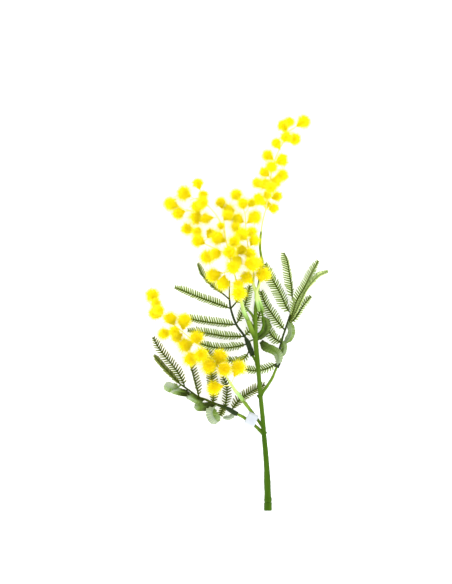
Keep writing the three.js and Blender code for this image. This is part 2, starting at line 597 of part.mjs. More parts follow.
// A flower head with its pedicel: a ball raised in low bumps, whose neck is drawn out to a three-sided stalk.
function bloom({ at, radius }, { root, inward }, turn) {
  const flat = new THREE.DodecahedronGeometry(radius, 0).attributes.position;
  const corner = (i) => new THREE.Vector3().fromBufferAttribute(flat, i);
  const rings = [];
  for (let face = 0; face < flat.count; face += 9) rings.push([2, 0, 1, 4, 7].map((k) => corner(face + k)));
  const middleOf = (ring) => ring.reduce((sum, p) => sum.add(p), new THREE.Vector3()).normalize();
  const axis = middleOf(rings[0]);
  const spin = new THREE.Quaternion().setFromUnitVectors(axis, inward);
  spin.premultiply(new THREE.Quaternion().setFromAxisAngle(inward, turn));

  const points = [];
  const triangles = [];
  for (const ring of rings.slice(1)) {
    const first = points.push(middleOf(ring).multiplyScalar(RELIEF * radius), ...ring) - 6;
    ring.forEach((_, k) => triangles.push([first, first + 1 + k, first + 1 + ((k + 1) % 5)]));
  }
  const across = rings[0][0].clone().addScaledVector(axis, -rings[0][0].dot(axis)).normalize();
  const side = new THREE.Vector3().crossVectors(axis, across);
  const section = [0, 1, 2].map((k) => {
    const angle = (k * 2 * Math.PI) / 3;
    return across.clone().multiplyScalar(Math.cos(angle)).addScaledVector(side, Math.sin(angle));
  });
  const neckAt = axis.clone().multiplyScalar(NECK * radius);
  const neck = section.map((p) => p.clone().multiplyScalar(PEDICEL_RADIUS).add(neckAt));
  const base = points.push(...rings[0], ...neck) - 8;
  const [o0, o1, o2, o3, o4, i0, i1, i2] = [0, 1, 2, 3, 4, 5, 6, 7].map((k) => base + k);
  triangles.push([i0, o0, o1], [i0, o1, i1], [i1, o1, o2], [i1, o2, o3]);
  triangles.push([i1, o3, i2], [i2, o3, o4], [i2, o4, i0], [i0, o4, o0]);
  points.forEach((p) => p.applyQuaternion(spin).add(at));
  const ends = section.map((p) => p.clone().applyQuaternion(spin).multiplyScalar(PEDICEL_RADIUS).add(root));
  const [e0, e1, e2] = [0, 1, 2].map((k) => points.length + k);
  points.push(...ends);
  triangles.push([i0, i1, e1], [i0, e1, e0], [i1, i2, e2], [i1, e2, e1]);
  triangles.push([i2, i0, e0], [i2, e0, e2], [e0, e1, e2]);
  return solid(points, triangles);
}

function spraySolid(spray, heads, peg) {
  const stalks = spray.twigs.map((twig) => limb(twig, STALK_SIDES + (twig === spray.twigs[0] ? 1 : 0)));
  const own = heads.filter((head) => head.spray === spray);
  const blooms = own.map((head, i) => bloom(head, seatOf(head, spray.twigs), i));
  let body = join([...stalks, ...blooms]);
  if (peg) body = body.subtract(limb(widened(peg, PLUG_GAP), 8));
  return body;
}

// What lies on the table is flattened where it meets it.
function seated(body) {
  const room = new THREE.BoxGeometry(TABLE.width, TABLE.length, TABLE.above);
  room.translate(0, 0, TABLE.above / 2);
  return body.intersect(manifold(room));
}

// Tag: a blank strip folded once, with one half over the two low shoots and the other half under them

function tag() {
  const { width, length, thick, over, under, at, turn } = TAG;
  const middle = (over + under) / 2;
  const rise = (over - under) / 2;
  const fold = new THREE.Shape();
  fold.moveTo(0, middle + rise + thick);
  fold.absarc(length - rise, middle, rise + thick, Math.PI / 2, -Math.PI / 2, true);
  fold.lineTo(0, middle - rise - thick);
  fold.lineTo(0, middle - rise);
  fold.absarc(length - rise, middle, rise, -Math.PI / 2, Math.PI / 2, false);
  fold.lineTo(0, middle + rise);
  const geometry = new THREE.ExtrudeGeometry(fold, { depth: width, bevelEnabled: false, curveSegments: 5 });
  geometry.translate(-length / 2, 0, -width / 2);
  geometry.rotateX(Math.PI / 2);
  geometry.rotateZ(THREE.MathUtils.degToRad(-90 - turn));
  geometry.translate(at[0], at[1], 0);
  return manifold(geometry);
}

// Assembly

const sprays = [SPRAY_TOP, SPRAY_CENTRE, SPRAY_LEFT, SPRAY_LOWER];
const heads = placedHeads(sprays);

const laid = new THREE.Group();
laid.add(meshOf("main_stem", seated(mainStem()), MOULDED_GREEN));
laid.add(meshOf("frond_upper_left", seated(frond(FROND_A)), LEAF_GREEN));
laid.add(meshOf("frond_right", seated(frond(FROND_B)), LEAF_GREEN));
laid.add(meshOf("frond_lower_left", seated(frond(FROND_C)), LEAF_GREEN));
laid.add(meshOf("spray_top", seated(spraySolid(SPRAY_TOP, heads)), FLOCKED_YELLOW));
laid.add(meshOf("spray_centre", seated(spraySolid(SPRAY_CENTRE, heads, SLEEVED.centre)), FLOCKED_YELLOW));
laid.add(meshOf("spray_left", seated(spraySolid(SPRAY_LEFT, heads, SLEEVED.left)), FLOCKED_YELLOW));
laid.add(meshOf("spray_lower", seated(spraySolid(SPRAY_LOWER, heads, SLEEVED.lower)), FLOCKED_YELLOW));
laid.add(meshOf("tag", tag(), PAPER));

// The origin is the middle of the bottom of the whole sprig's box.
const box = new THREE.Box3().setFromObject(laid);
laid.position.set(-(box.min.x + box.max.x) / 2, -(box.min.y + box.max.y) / 2, -box.min.z);

const sprig = new THREE.Group();
sprig.add(laid);
export default sprig;
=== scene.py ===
"""Artificial mimosa sprig: its looks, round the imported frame.

Routes and sizes are in layout millimetres: X to the right and Y along the stem from the middle of its cut
end, Z up from the table. Every piece is made in them, and then put in the frame's place in metres.
"""
import math
import random

import bmesh
import bpy
from mathutils import Matrix, Vector, noise


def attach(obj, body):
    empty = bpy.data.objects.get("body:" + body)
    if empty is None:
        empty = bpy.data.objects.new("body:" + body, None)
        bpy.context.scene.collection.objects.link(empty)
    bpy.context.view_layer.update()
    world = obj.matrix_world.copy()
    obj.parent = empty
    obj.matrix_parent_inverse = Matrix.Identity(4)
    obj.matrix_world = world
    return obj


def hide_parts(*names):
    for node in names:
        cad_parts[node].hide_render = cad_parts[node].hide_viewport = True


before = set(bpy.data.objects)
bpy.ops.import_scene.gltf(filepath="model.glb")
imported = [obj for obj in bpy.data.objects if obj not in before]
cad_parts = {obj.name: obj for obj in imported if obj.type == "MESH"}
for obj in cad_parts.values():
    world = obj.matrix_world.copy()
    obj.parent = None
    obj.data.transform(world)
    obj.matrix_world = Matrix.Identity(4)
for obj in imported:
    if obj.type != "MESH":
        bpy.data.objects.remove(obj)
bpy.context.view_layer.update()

# Driving dimensions, in millimetres and degrees
LEAFLET = 6.2  # length from the middle of the rib
LEAFLET_PITCH = 2.4
LEAFLET_WIDTH = 1.75
LEAFLET_THICK = 0.28
LEAFLET_LEAN = 24
CLOSED_PITCH = 1.7  # the leaflets of a curled pinna lie over each other
CLOSED_WIDTH = 3
END_LEAFLET = (0.55, 0.5)  # the first and the last leaflets of a pinna, as a share of the longest
FULL_WITHIN = (0.15, 0.19)  # shares of the pinna over which they grow to full length
RIB_RADIUS = (0.9, 0.6)  # at a pinna's base and at its tip
PEDICEL_RADIUS = (0.5, 0.4)
STALK_SHARE = 0.72  # thickness of the stalks past their sleeves, as a share of the frame's
PEDICEL_LEAN = 0.55  # how far back along its twig a pedicel starts, as a share of its reach
FURTHEST_BACK = 0.25  # and never nearer the twig's start than this share of the way
HEAD_GAP = 0.4
FOLIAGE_TOP = 17
LEAF_CLEAR = 1
HEAD_LIFTS = (4, -3, 2, -1, 5, 0)
SEAT_DEPTH = 0.8
SLEEVE_WALL = 0.45
FIBRES = 1000  # on a flocked head; the sizes below are shares of the head's radius
FIBRE_STAGGER = (0.1, 0.9)  # where in its own step of height a fibre stands
CORE = 0.78
ROOT = 0.68
FIBRE_RADIUS = 0.024
FIBRE_TIPS = (0.85, 2)
GOLDEN_ANGLE = math.radians(137.5)
FULLNESS = 0.96  # of a flocked head, as a share of the frame's ball
UP = Vector((0, 0, 1))
ROUND_END = ((0.45, 0.86), (0.75, 0.5))  # how far past a limb's end, and how wide there, in its end's radii
SOCKET_DEPTH = 5  # of a sleeve's open mouth

# Sides round each kind of limb, and steps from one of its stations to the next
STEM_RINGS = (20, 8)
SHOOT_RINGS = (12, 7)
SLEEVE_RINGS = (14, 6)
RACHIS_RINGS = (10, 6)
STALK_RINGS = (12, 5)
TWIG_RINGS = (8, 5)
RIB_RINGS = (6, 4)  # and a pedicel's

# Routes and heads: most are the frame's own, but some pinnae, shoots, sleeves and twigs differ from it

FROND_A = dict(
    tone=0.6, olive=0.1, apart=1,
    peg=[[-12, 149, 18.5, 1.3], [-15.2, 155, 14.6, 1.2], [-17.2, 160.6, 12.7, 1.1]],
    sleeve=[[-15.3, 155.3, 14.4, 2.4], [-17.4, 161, 12.8, 2.9], [-20.4, 169, 12.2, 2.6], [-22, 172, 12, 1.8]],
    rachis=[
        [-20, 168, 12.2, 1.5], [-23.3, 174.6, 12, 1.3], [-31.7, 186.5, 11.5, 1.15],
        [-37.3, 202.5, 11, 1.1], [-38.5, 212, 11, 0.9], [-38.6, 221, 10.5, 0.7], [-38.5, 230, 10, 0.6],
    ],
    pinnae=[
        dict(route=[
            [-38.4, 211.5, 11], [-46.7, 218.5, 10.5], [-54, 223.5, 10],
            [-61.6, 231, 9], [-67.4, 239, 8], [-70.4, 247.2, 7],
        ], bare=0.19, droop=[68, 35]),
        dict(route=[
            [-37.3, 202.5, 11], [-40.6, 203.6, 10.8], [-59.7, 210.5, 10],
            [-71.2, 214.7, 9], [-82.7, 219.6, 7], [-93, 223.5, 4],
        ], droop=[51, 20]),
        dict(route=[
            [-31.7, 186.5, 11.5], [-43, 187, 11], [-56.2, 188.4, 10], [-67.7, 190, 8], [-82, 193, 5],
        ], droop=[55, 5], reach=1.06),
        dict(route=[
            [-23.3, 174.6, 12], [-41, 174.6, 11], [-56.2, 177, 10], [-66.2, 178.6, 8], [-80, 180.3, 5],
        ], droop=[47, 18]),
        dict(route=[
            [-21, 167, 12.2], [-33.3, 164, 11.5], [-44.7, 163, 11], [-56.2, 164, 10], [-68, 167.5, 8],
        ], droop=[47, 20]),
        dict(route=[
            [-18.5, 162, 12.5], [-21, 156, 12], [-26.5, 151, 11], [-36, 150, 10], [-43, 151, 9],
        ], bare=0.18, droop=[40, 35]),
        dict(route=[
            [-36.8, 203, 11], [-30.5, 210.4, 11], [-27, 216, 10.5], [-24.5, 223, 10],
        ], bare=0.3, droop=[35, 35]),
        dict(route=[
            [-31, 188, 11.5], [-26.5, 196.5, 12], [-23, 206, 12.5], [-20.2, 217, 12], [-18, 225, 11.5],
        ], droop=[40, 25]),
        dict(route=[
            [-23.5, 175, 12], [-19.7, 179, 12.5], [-11, 190, 13], [-6.5, 203.5, 12.5],
        ], droop=[15, 15]),
        dict(  # curls over to the right of the stem
            route=[
                [-20.5, 169, 12], [-14, 171.5, 11], [-7.5, 173.5, 10.5], [-3, 177.5, 13],
                [-0.4, 183.5, 15], [-2, 190, 14.5], [-4.5, 193.5, 12.5],
            ],
            # its silver, all below 0, is painted shade
            bare=0.2, droop=[10, 72], reach=0.85, silver=(-0.6, -0.3),
        ),
    ],
)

FROND_B = dict(
    tone=0.8, olive=0.3, apart=1,
    peg=[[4.2, 133, 15.5, 1.5], [6.6, 138.5, 14.6, 1.35], [8.9, 144, 13.7, 1.1], [11, 148.6, 13, 1.1]],
    sleeve=[[8.7, 143.6, 13.8, 2.3], [10.9, 148.5, 13, 2.4], [13.2, 153.5, 12.4, 1.7], [13.6, 156, 12, 1.2]],
    rachis=[
        [12.6, 152, 12.5, 1.5], [13.5, 155, 12.2, 1.3], [11.6, 160.7, 12, 1.2],
        [13, 167, 12, 1.15], [14.8, 174, 12, 1.1], [18.8, 186, 12, 1.05],
        [22.8, 197.8, 12, 1], [26, 208.7, 11.5, 0.9], [26.6, 211.5, 11.5, 0.7],
    ],
    pinnae=[
        dict(route=[
            [26, 208.5, 11.5], [23.9, 216, 11.5], [23.9, 222, 11],
            [21.6, 236.6, 10], [19.4, 250, 8], [16.3, 258, 6],
        ], bare=0.12, droop=[0, 72], reach=1.2),
        dict(route=[
            [20.9, 187.5, 12.6], [25, 198.5, 13.6], [28.6, 210, 13.2],
            [36.4, 223.5, 11.5], [44, 238.5, 8.5], [50.5, 249.8, 5],
        ], bare=0.12, droop=[12, 58], reach=1.08),
        dict(route=[
            [20.7, 186.5, 12.4], [27.5, 198, 12.4], [33, 210, 11.6],
            [39, 222, 10], [45.5, 230, 8.5], [52, 236, 7], [59.6, 239.2, 4.5],
        ], bare=0.02, droop=[20, 66], reach=0.8, lean=42, pitch=1.9, sides=(0.4, 0.2)),
        dict(route=[
            [20.5, 190.5, 12], [24.1, 189.6, 11], [30.4, 197.3, 9], [34.4, 204, 7.5], [43, 214.5, 4],
        ], droop=[45, 38]),
        dict(route=[
            [22.8, 197.8, 12], [18.8, 203, 12], [14.1, 213.6, 11.5],
            [8.3, 225, 10.5], [3.4, 233.5, 9.5], [-2.5, 247, 7],
        ], droop=[0, 47], reach=1.28),
        dict(route=[
            [16.8, 181, 12], [9, 190.2, 11], [4.1, 197.3, 9.5],
            [-1.7, 205.4, 8], [-5, 213, 7], [-7, 219.5, 6.5],
        ], droop=[10, 27], reach=1.08),
        dict(route=[
            [13.2, 168, 12], [9, 171, 9.5], [5.4, 173.7, 7.5], [1, 179.5, 5.5], [-1.5, 185, 5],
        ], droop=[12, 12]),
        dict(  # curls back on itself, left of its sleeve
            route=[
                [9.3, 146, 15.6], [11, 152.5, 16.6], [9, 158.5, 17],
                [3.5, 161.8, 15.5], [-2.5, 164.3, 12.5], [-6.5, 169, 9],
            ],
            # its silver goes from silver at its base to painted shade at its tip
            droop=[20, 30], reach=0.78, silver=(0.8, -0.9),
        ),
        dict(route=[
            [12.3, 152, 12.4], [8.5, 147.6, 10], [1, 143.1, 8],
            [-6.3, 140.8, 7.5], [-15, 140.2, 7], [-22.3, 141.5, 6],
        ], bare=0.2, droop=[43, 15]),
        dict(route=[
            [20.3, 189.5, 12.2], [22.4, 185, 14.5], [23.4, 179, 15], [21.8, 173.5, 13.5], [18, 169, 11],
        ], bare=0.02, droop=[30, 30], reach=0.68, silver=(0.4, 0.5), sides=(-0.3, 0.1)),
        dict(route=[
            [14.6, 170, 12.2], [15.7, 166.5, 14.6], [16.2, 162, 14.6], [13.8, 155.5, 12.6],
        ], bare=0.02, droop=[30, 30], reach=0.55, silver=(0.2, 0.4), sides=(0.1, -0.6)),
    ],
)

FROND_C = dict(
    tone=-1, olive=1, apart=1.13,
    peg=[[-20, 90.4, 12, 1.7], [-26, 94.6, 11, 1.65], [-30.3, 96.6, 10, 1.4], [-35, 99, 9.4, 1.1]],
    sleeve=[[-30.5, 96.7, 9.9, 2.3], [-34.6, 98.8, 9.4, 2.5], [-38, 100.9, 9, 2.4], [-41, 102.6, 8.8, 2]],
    rachis=[
        [-37, 100.4, 9, 1.8], [-43.4, 103.8, 8.8, 1.8], [-50, 106, 8.7, 1.5], [-56.7, 108.7, 8.5, 1.3],
        [-63.4, 111.8, 8.3, 1.1], [-68.8, 113.6, 8, 1], [-79, 120.7, 7.6, 0.95], [-88, 127, 7, 0.8],
    ],
    pinnae=[
        dict(route=[
            [-87.5, 126.6, 7], [-90.5, 129.4, 6.5], [-96.2, 135, 5.5],
            [-104, 143, 5], [-109.6, 149.6, 4.5], [-113.4, 154.6, 4],
        ], droop=[58, 42], lean=40, apart=0.8),
        dict(route=[
            [-83.5, 124, 7.4], [-84.7, 128.6, 9], [-90.5, 139, 10], [-96.2, 146.6, 10],
            [-102, 153.5, 10], [-110.5, 165, 9], [-114.8, 173.4, 8],
        ], droop=[35, 17]),
        dict(route=[
            [-69, 113.8, 8], [-71, 122, 8.5], [-73.2, 130.5, 8], [-77.1, 145, 7], [-79, 151, 6.5],
        ], droop=[72, 5], reach=1.02, apart=1.06),
        dict(route=[
            [-55, 108, 8.5], [-54.5, 113, 8], [-56.7, 135.5, 6], [-59.7, 158, 4.5], [-61.3, 162, 4],
        ], bare=0.02, droop=[38, 16], reach=1.2, apart=0.98),
        dict(route=[
            [-42.7, 103.5, 8.8], [-41.1, 117.6, 8.5], [-41.6, 126.5, 8], [-45.3, 134.2, 7.5],
        ], bare=0.02, droop=[34, 28], apart=1.08),
        dict(route=[
            [-36.5, 101, 9], [-30, 109.6, 8.5], [-22.8, 115.4, 8], [-14.7, 120.4, 8], [-3.6, 126.2, 8],
        ], droop=[14, 38], reach=1.05, apart=1),
        # the curled ones, which leave the rachis upwards and bend over beside it; their silver and sides
        # paint shade and light on them
        dict(route=[
            [-87, 126, 7], [-90.5, 123.8, 9.5], [-95, 122.6, 11.5],
            [-99.5, 124.4, 10.5], [-103.2, 126.4, 8],
        ], bare=0.2, droop=[15, 15], reach=0.82, lean=2, silver=(-0.2, 1.1), sides=(-0.4, 0.4)),
        dict(route=[
            [-80.5, 121.8, 7.4], [-82.5, 119.2, 11.5], [-86.5, 119.3, 13.8],
            [-91, 120.4, 13.2], [-95.5, 121.2, 10.5],
        ], bare=0.1, droop=[15, 15], reach=0.85, lean=4, silver=(-1.7, 1.5), sides=(-0.4, 0.1)),
        dict(route=[
            [-63, 111.4, 8.3], [-68.5, 110.2, 10.5], [-75, 113.2, 11.2], [-81.5, 117.2, 9.5],
        ], bare=0.1, droop=[38, 38], reach=0.72, silver=(-1.4, 0.8), sides=(0.8, -0.2)),
        dict(route=[
            [-52.5, 107, 8.5], [-56.5, 105.4, 10.5],
            [-62.5, 104.4, 11.5], [-68.5, 104.2, 10], [-73, 104.8, 7],
        ], bare=0.05, droop=[20, 20], reach=0.76, silver=(-2.4, 0.9)),
        dict(route=[
            [-50.5, 106.2, 8.6], [-54.5, 103.2, 11.5],
            [-56.2, 98, 13], [-54, 92.6, 11.6], [-50.5, 88.8, 8.5],
        ], bare=0.26, droop=[10, 10], reach=0.98, lean=10, silver=(0.5, 1), sides=(-0.7, 0.3)),
        dict(route=[
            [-44, 104, 8.7], [-45.8, 100, 8], [-47.6, 95.5, 6],
        ], bare=0.05, droop=[30, 30], reach=0.78, apart=0.9),
        dict(route=[
            [-35.5, 98.8, 9], [-35, 95.6, 7.8], [-39, 92.8, 6.5], [-44, 92.8, 5],
        ], bare=0.15, droop=[35, 35], reach=0.42, silver=(0.9, 1.1)),
    ],
)

SPRAY_TOP = dict(
    twigs=[
        [
            [-6.9, 273.5, 13.2, 1.1], [-6.7, 279.4, 13.2, 1.1], [-6.6, 281, 13.3, 1.05],
            [-5.6, 288, 14, 0.9], [-1.5, 305, 15, 0.9], [0.5, 318, 15, 1], [4, 341, 14, 0.95],
            [9.5, 358, 12, 0.9], [15, 368, 10, 0.8], [20, 379, 7.5, 0.75], [26.4, 383, 6, 0.7],
        ],
    ],
    heads=[
        [5.8, 302.5, 4.7], [-1.1, 306.5, 4], [-8.9, 311.5, 5.7], [9.3, 314.4, 4.7], [-0.4, 315.8, 4],
        [2.6, 322.7, 5], [-2.7, 326.5, 5.5], [-10.7, 328, 4.7], [7.8, 329, 5], [14.5, 335.7, 5.5],
        [-3.5, 338.7, 4.7], [3.5, 344, 5.3], [14.5, 351, 5.6], [-0.5, 355.8, 5], [8.5, 367.7, 4.7],
        [26.8, 372, 5.5], [18, 373.8, 5], [15.7, 385.7, 5.5], [21.5, 389.1, 4.5], [36, 389.5, 6],
    ],
)

SPRAY_CENTRE = dict(
    twigs=[
        [
            [-5.3, 200.6, 20.4, 1.5], [-6.8, 205, 21.3, 1.7], [-9.5, 212, 23.4, 2], [-12.3, 220, 24, 1.9],
            [-14.6, 226, 24.2, 1.5], [-14.4, 238, 24, 1.1], [-17.5, 253, 23, 1], [-20.5, 268, 21, 0.9],
            [-22.2, 283, 18, 0.8], [-23, 297, 15, 0.7], [-27, 308, 12, 0.6],
        ],
        [
            [-8.9, 199.8, 23.4, 1.5], [-10.2, 206, 23.8, 1.7], [-11.6, 213, 24.2, 2],
            [-11.4, 220, 24.8, 1.7], [-9, 225.5, 25, 1.3], [-7.6, 231, 25, 0.9],
        ],
    ],
    heads=[
        [-21.1, 233.4, 6], [-5, 236.6, 6.7], [-16.4, 246.6, 6.8], [-11, 247.5, 5.4],
        [-18, 257, 5.5], [-13.8, 270.5, 5.1], [-26.5, 276.3, 6.3], [-16.3, 279, 4.8],
        [-32.5, 283.7, 4.6], [-30.4, 291.6, 5.6], [-13.1, 293.7, 6.3],
        [-25, 307.5, 5.2], [-16.5, 307.8, 4], [-31.7, 316.3, 5.4],
    ],
)

SPRAY_LEFT = dict(
    twigs=[
        [
            [-20.3, 191.4, 22.4, 2.2], [-24.2, 199.5, 24, 2.1], [-26.7, 210, 26, 1.6],
            [-28, 214, 27, 1.3], [-32, 231, 29, 1.1], [-37, 249, 28, 1],
            [-41, 266, 25, 0.9], [-43.5, 283, 21, 0.8], [-44.5, 300, 16, 0.65],
        ],
        [[-33.5, 237, 29, 0.9], [-40, 239.5, 29, 0.75], [-48, 236.5, 28, 0.65]],
        [
            [-37.8, 252, 27.8, 0.9], [-46, 259, 27, 0.85], [-55, 263.3, 24.5, 0.8],
            [-64, 268, 21, 0.75], [-70, 276, 15, 0.7], [-75, 283, 10, 0.6],
        ],
        [
            [-41, 266, 25, 0.9], [-44, 279, 23.5, 0.85], [-50.1, 293.5, 21, 0.8],
            [-60.4, 305.6, 17.5, 0.75], [-70, 312.7, 12.5, 0.7], [-78, 311, 8.5, 0.6],
        ],
        [[-61, 306, 17.3, 0.75], [-72, 300, 12, 0.7], [-82, 301.5, 5, 0.6]],
    ],
    heads=[
        [-29.4, 217.6, 6.5], [-29.7, 226, 5], [-44.8, 227.5, 6.4], [-54.6, 235.7, 6.3], [-34.7, 244, 6.6],
        [-31.1, 250, 5.3], [-60.5, 254, 6.6], [-52.4, 257.3, 5.2], [-38.5, 258.8, 6.2], [-26.4, 261, 5],
        [-33.7, 269.4, 5.7], [-70.1, 270.3, 6], [-50.5, 273, 6.6], [-57.3, 278, 4.3], [-71, 279, 4.7],
        [-81, 281.8, 5.5], [-47.2, 285, 3.5], [-62.2, 292.4, 5], [-72.1, 293, 6.2], [-40, 295.2, 5],
        [-89.6, 298, 5.6], [-39.4, 301.2, 5.6], [-70.4, 304.6, 5.7], [-98, 307.3, 6], [-65.3, 308.5, 5.2],
        [-47.4, 308.5, 4.8], [-64.8, 315.7, 4.5], [-84, 318, 6.5], [-70.1, 327.8, 5],
    ],
)

SPRAY_LOWER = dict(
    twigs=[
        [
            [-24.8, 110.3, 18.6, 2], [-28.6, 115.6, 20, 1.9], [-32.7, 120.4, 21.6, 1.6],
            [-37, 127, 23.5, 1.3], [-40.4, 132.3, 24.5, 1.2], [-54, 149, 26, 1.1], [-64, 162, 26, 1],
            [-78, 173, 24, 0.9], [-90, 183, 20, 0.8], [-103, 193, 11, 0.7], [-110, 203, 5.5, 0.6],
        ],
    ],
    heads=[
        [-53.6, 123.5, 6.3], [-44, 142, 6.6], [-29.8, 143.5, 6.8], [-59.2, 145.4, 7], [-77.4, 152.2, 6.5],
        [-48.2, 154.5, 6.6], [-66.7, 155.7, 6.7], [-83, 165.7, 6.7], [-71.5, 173.4, 6.3],
        [-91, 173.8, 5.3], [-104, 177.3, 5.5], [-93.6, 179.7, 5.2], [-84, 190.5, 6.5], [-97.6, 192.8, 6],
        [-112.9, 197.7, 6], [-108.7, 200.5, 4.7], [-112, 207.5, 4.7], [-115.8, 215.6, 6.2],
    ],
)

STEM = [
    [0, 0, 3.6, 3.95], [0, 7.8, 3.65, 3.95], [0, 8.4, 3.7, 3.3], [0, 9.6, 3.75, 3.75],
    [0, 11.4, 3.8, 4], [-0.2, 14.5, 4.1, 3.4], [-0.3, 19.4, 4.6, 3.25], [-0.7, 28.3, 5.4, 3.45],
    [-1.2, 42, 6.8, 2.8], [-2.5, 60, 9, 2.7], [-4, 76, 11.3, 2.5], [-5.5, 95, 14, 2.3],
    [-7.2, 112, 16.2, 2.2], [-8.8, 131, 18.4, 2.15], [-10.7, 152, 20, 2.3], [-12, 163.3, 20.4, 2.5],
    [-12.5, 173, 20.5, 2.5], [-12.6, 191, 20.2, 2.1], [-12.2, 206, 19.5, 1.7], [-10.8, 216, 18.9, 1.5],
    [-9, 228, 18, 1.4], [-6.8, 239, 17, 1.35], [-5.4, 248, 16, 1.3], [-7, 256, 15.2, 1.3],
    [-7.9, 264, 14.2, 1.3], [-7.6, 273, 13.4, 1.35], [-6.8, 279.1, 13.2, 1],
]

SHOOTS = [
    # the two low ones, to the lower left frond and to the lower spray
    [[-4.6, 77, 12, 2], [-8.5, 81, 12, 1.9], [-12.5, 84.8, 12.2, 1.6], *FROND_C["peg"]],
    [
        [-5.2, 84, 13, 1.8], [-9, 89.4, 12.8, 1.5], [-13, 95, 12.6, 1.4], [-18, 101.4, 14, 1.7],
        [-23.2, 108.2, 17.3, 1.8], [-24.4, 109.7, 18.3, 1.25], [-27.8, 114.2, 19.5, 1.15],
    ],
    # to the right frond and to the upper left frond
    [[-7.2, 115, 17, 2], [-5.3, 119, 16.8, 1.8], [-1.5, 124, 16.4, 1.6], *FROND_B["peg"]],
    [[-11.4, 146, 19.6, 1.6], *FROND_A["peg"]],
    # to the left spray and to the centre spray
    [
        [-12.4, 171.5, 20.6, 2.1], [-15.2, 178.5, 21, 2.6], [-17.8, 184.5, 21.5, 2.5],
        [-19.9, 190.4, 22.3, 2.2], [-20.6, 191.9, 22.5, 1.25], [-23.2, 197.4, 23.6, 1.15],
    ],
    [
        [-11.8, 175, 20.4, 1.6], [-6.8, 179.5, 20, 1.3], [-4.5, 186.6, 19.8, 1.15],
        [-5, 193, 19.8, 1.05], [-6.9, 204, 20.9, 0.95],
    ],
    # a bare side twig, and two small node bumps
    [[-12.7, 189, 19.8, 1.5], [-16.2, 196.5, 19.5, 1.3], [-21.8, 203, 19.8, 0.85]],
    [[-3.6, 77, 11.4, 1.6], [-1.9, 78.4, 11.5, 1.1]],
    [[-8.7, 113.5, 16.4, 1.6], [-10.4, 115.5, 16.5, 0.9]],
]

SPRAYS = {
    "spray_top": SPRAY_TOP, "spray_centre": SPRAY_CENTRE,
    "spray_left": SPRAY_LEFT, "spray_lower": SPRAY_LOWER,
}
# The shoots' colours: 0 is the stem's green, 1 olive and -1 a yellowed olive
SHOOT_TONES = (0.6, 0.6, 0.55, 0.2, 1, 0.2, -0.5, 0.1, 0.1)

# Routes

SAMPLES = 40
LENGTH_STEPS = 200
ROUNDS = 30


class Route:
    """A smooth curve through its stations, [x, y, z] or [x, y, z, radius]: centripetal Catmull-Rom."""

    def __init__(self, stations):
        self.points = [Vector(station[:3]) for station in stations]
        self.radii = [station[3] if len(station) > 3 else 0.0 for station in stations]
        self.lengths = None

    def span(self, share):
        along = share * (len(self.points) - 1)
        first = min(int(along), len(self.points) - 2)
        return first, along - first

    def at(self, share):
        first, t = self.span(share)
        b, c = self.points[first], self.points[first + 1]
        a = self.points[first - 1] if first else 2 * b - c
        d = self.points[first + 2] if first + 2 < len(self.points) else 2 * c - b
        ab, bc, cd = (math.sqrt((n - m).length) for m, n in ((a, b), (b, c), (c, d)))
        out = ((b - a) / ab - (c - a) / (ab + bc) + (c - b) / bc) * bc
        into = ((c - b) / bc - (d - b) / (bc + cd) + (d - c) / cd) * bc
        return b + out * t + (3 * (c - b) - 2 * out - into) * t**2 + (2 * (b - c) + out + into) * t**3

    def radius(self, share):
        first, t = self.span(share)
        return self.radii[first] + (self.radii[first + 1] - self.radii[first]) * t

    def way(self, share):
        step = 1e-3
        return (self.at(min(1, share + step)) - self.at(max(0, share - step))).normalized()

    def length(self):
        self.by_length(1)
        return self.lengths[-1]

    def by_length(self, share):
        """The share of the stations at a share of the curve's length."""
        if not self.lengths:
            points = [self.at(i / LENGTH_STEPS) for i in range(LENGTH_STEPS + 1)]
            self.lengths = [0.0]
            for here, there in zip(points, points[1:]):
                self.lengths.append(self.lengths[-1] + (there - here).length)
        target = share * self.lengths[-1]
        i = next((i for i in range(LENGTH_STEPS) if self.lengths[i + 1] >= target), LENGTH_STEPS - 1)
        step = self.lengths[i + 1] - self.lengths[i]
        return (i + (target - self.lengths[i]) / step) / LENGTH_STEPS

    def samples(self):
        shares = [i / SAMPLES for i in range(SAMPLES + 1)]
        return [(*self.at(share), self.radius(share)) for share in shares]

    def frames(self, shares):
        """Place, way, left and up at each share, turning no more than the route does."""
        left, made = None, []
        for share in shares:
            way = self.way(share)
            left = UP.cross(way) if left is None else left
            left = (left - way * left.dot(way)).normalized()
            made.append((self.at(share), way, left, way.cross(left)))
        return made


def routes_of(listed):
    return [Route(stations) for stations in listed]


# Where the flower heads are

def height_apart(a, b):
    """How far apart in height two round things have to be, from how far apart they are in plan."""
    clear = a[3] + b[3] + HEAD_GAP
    beside = math.dist(a[:2], b[:2])
    return math.sqrt(clear**2 - beside**2) if beside < clear else 0.0


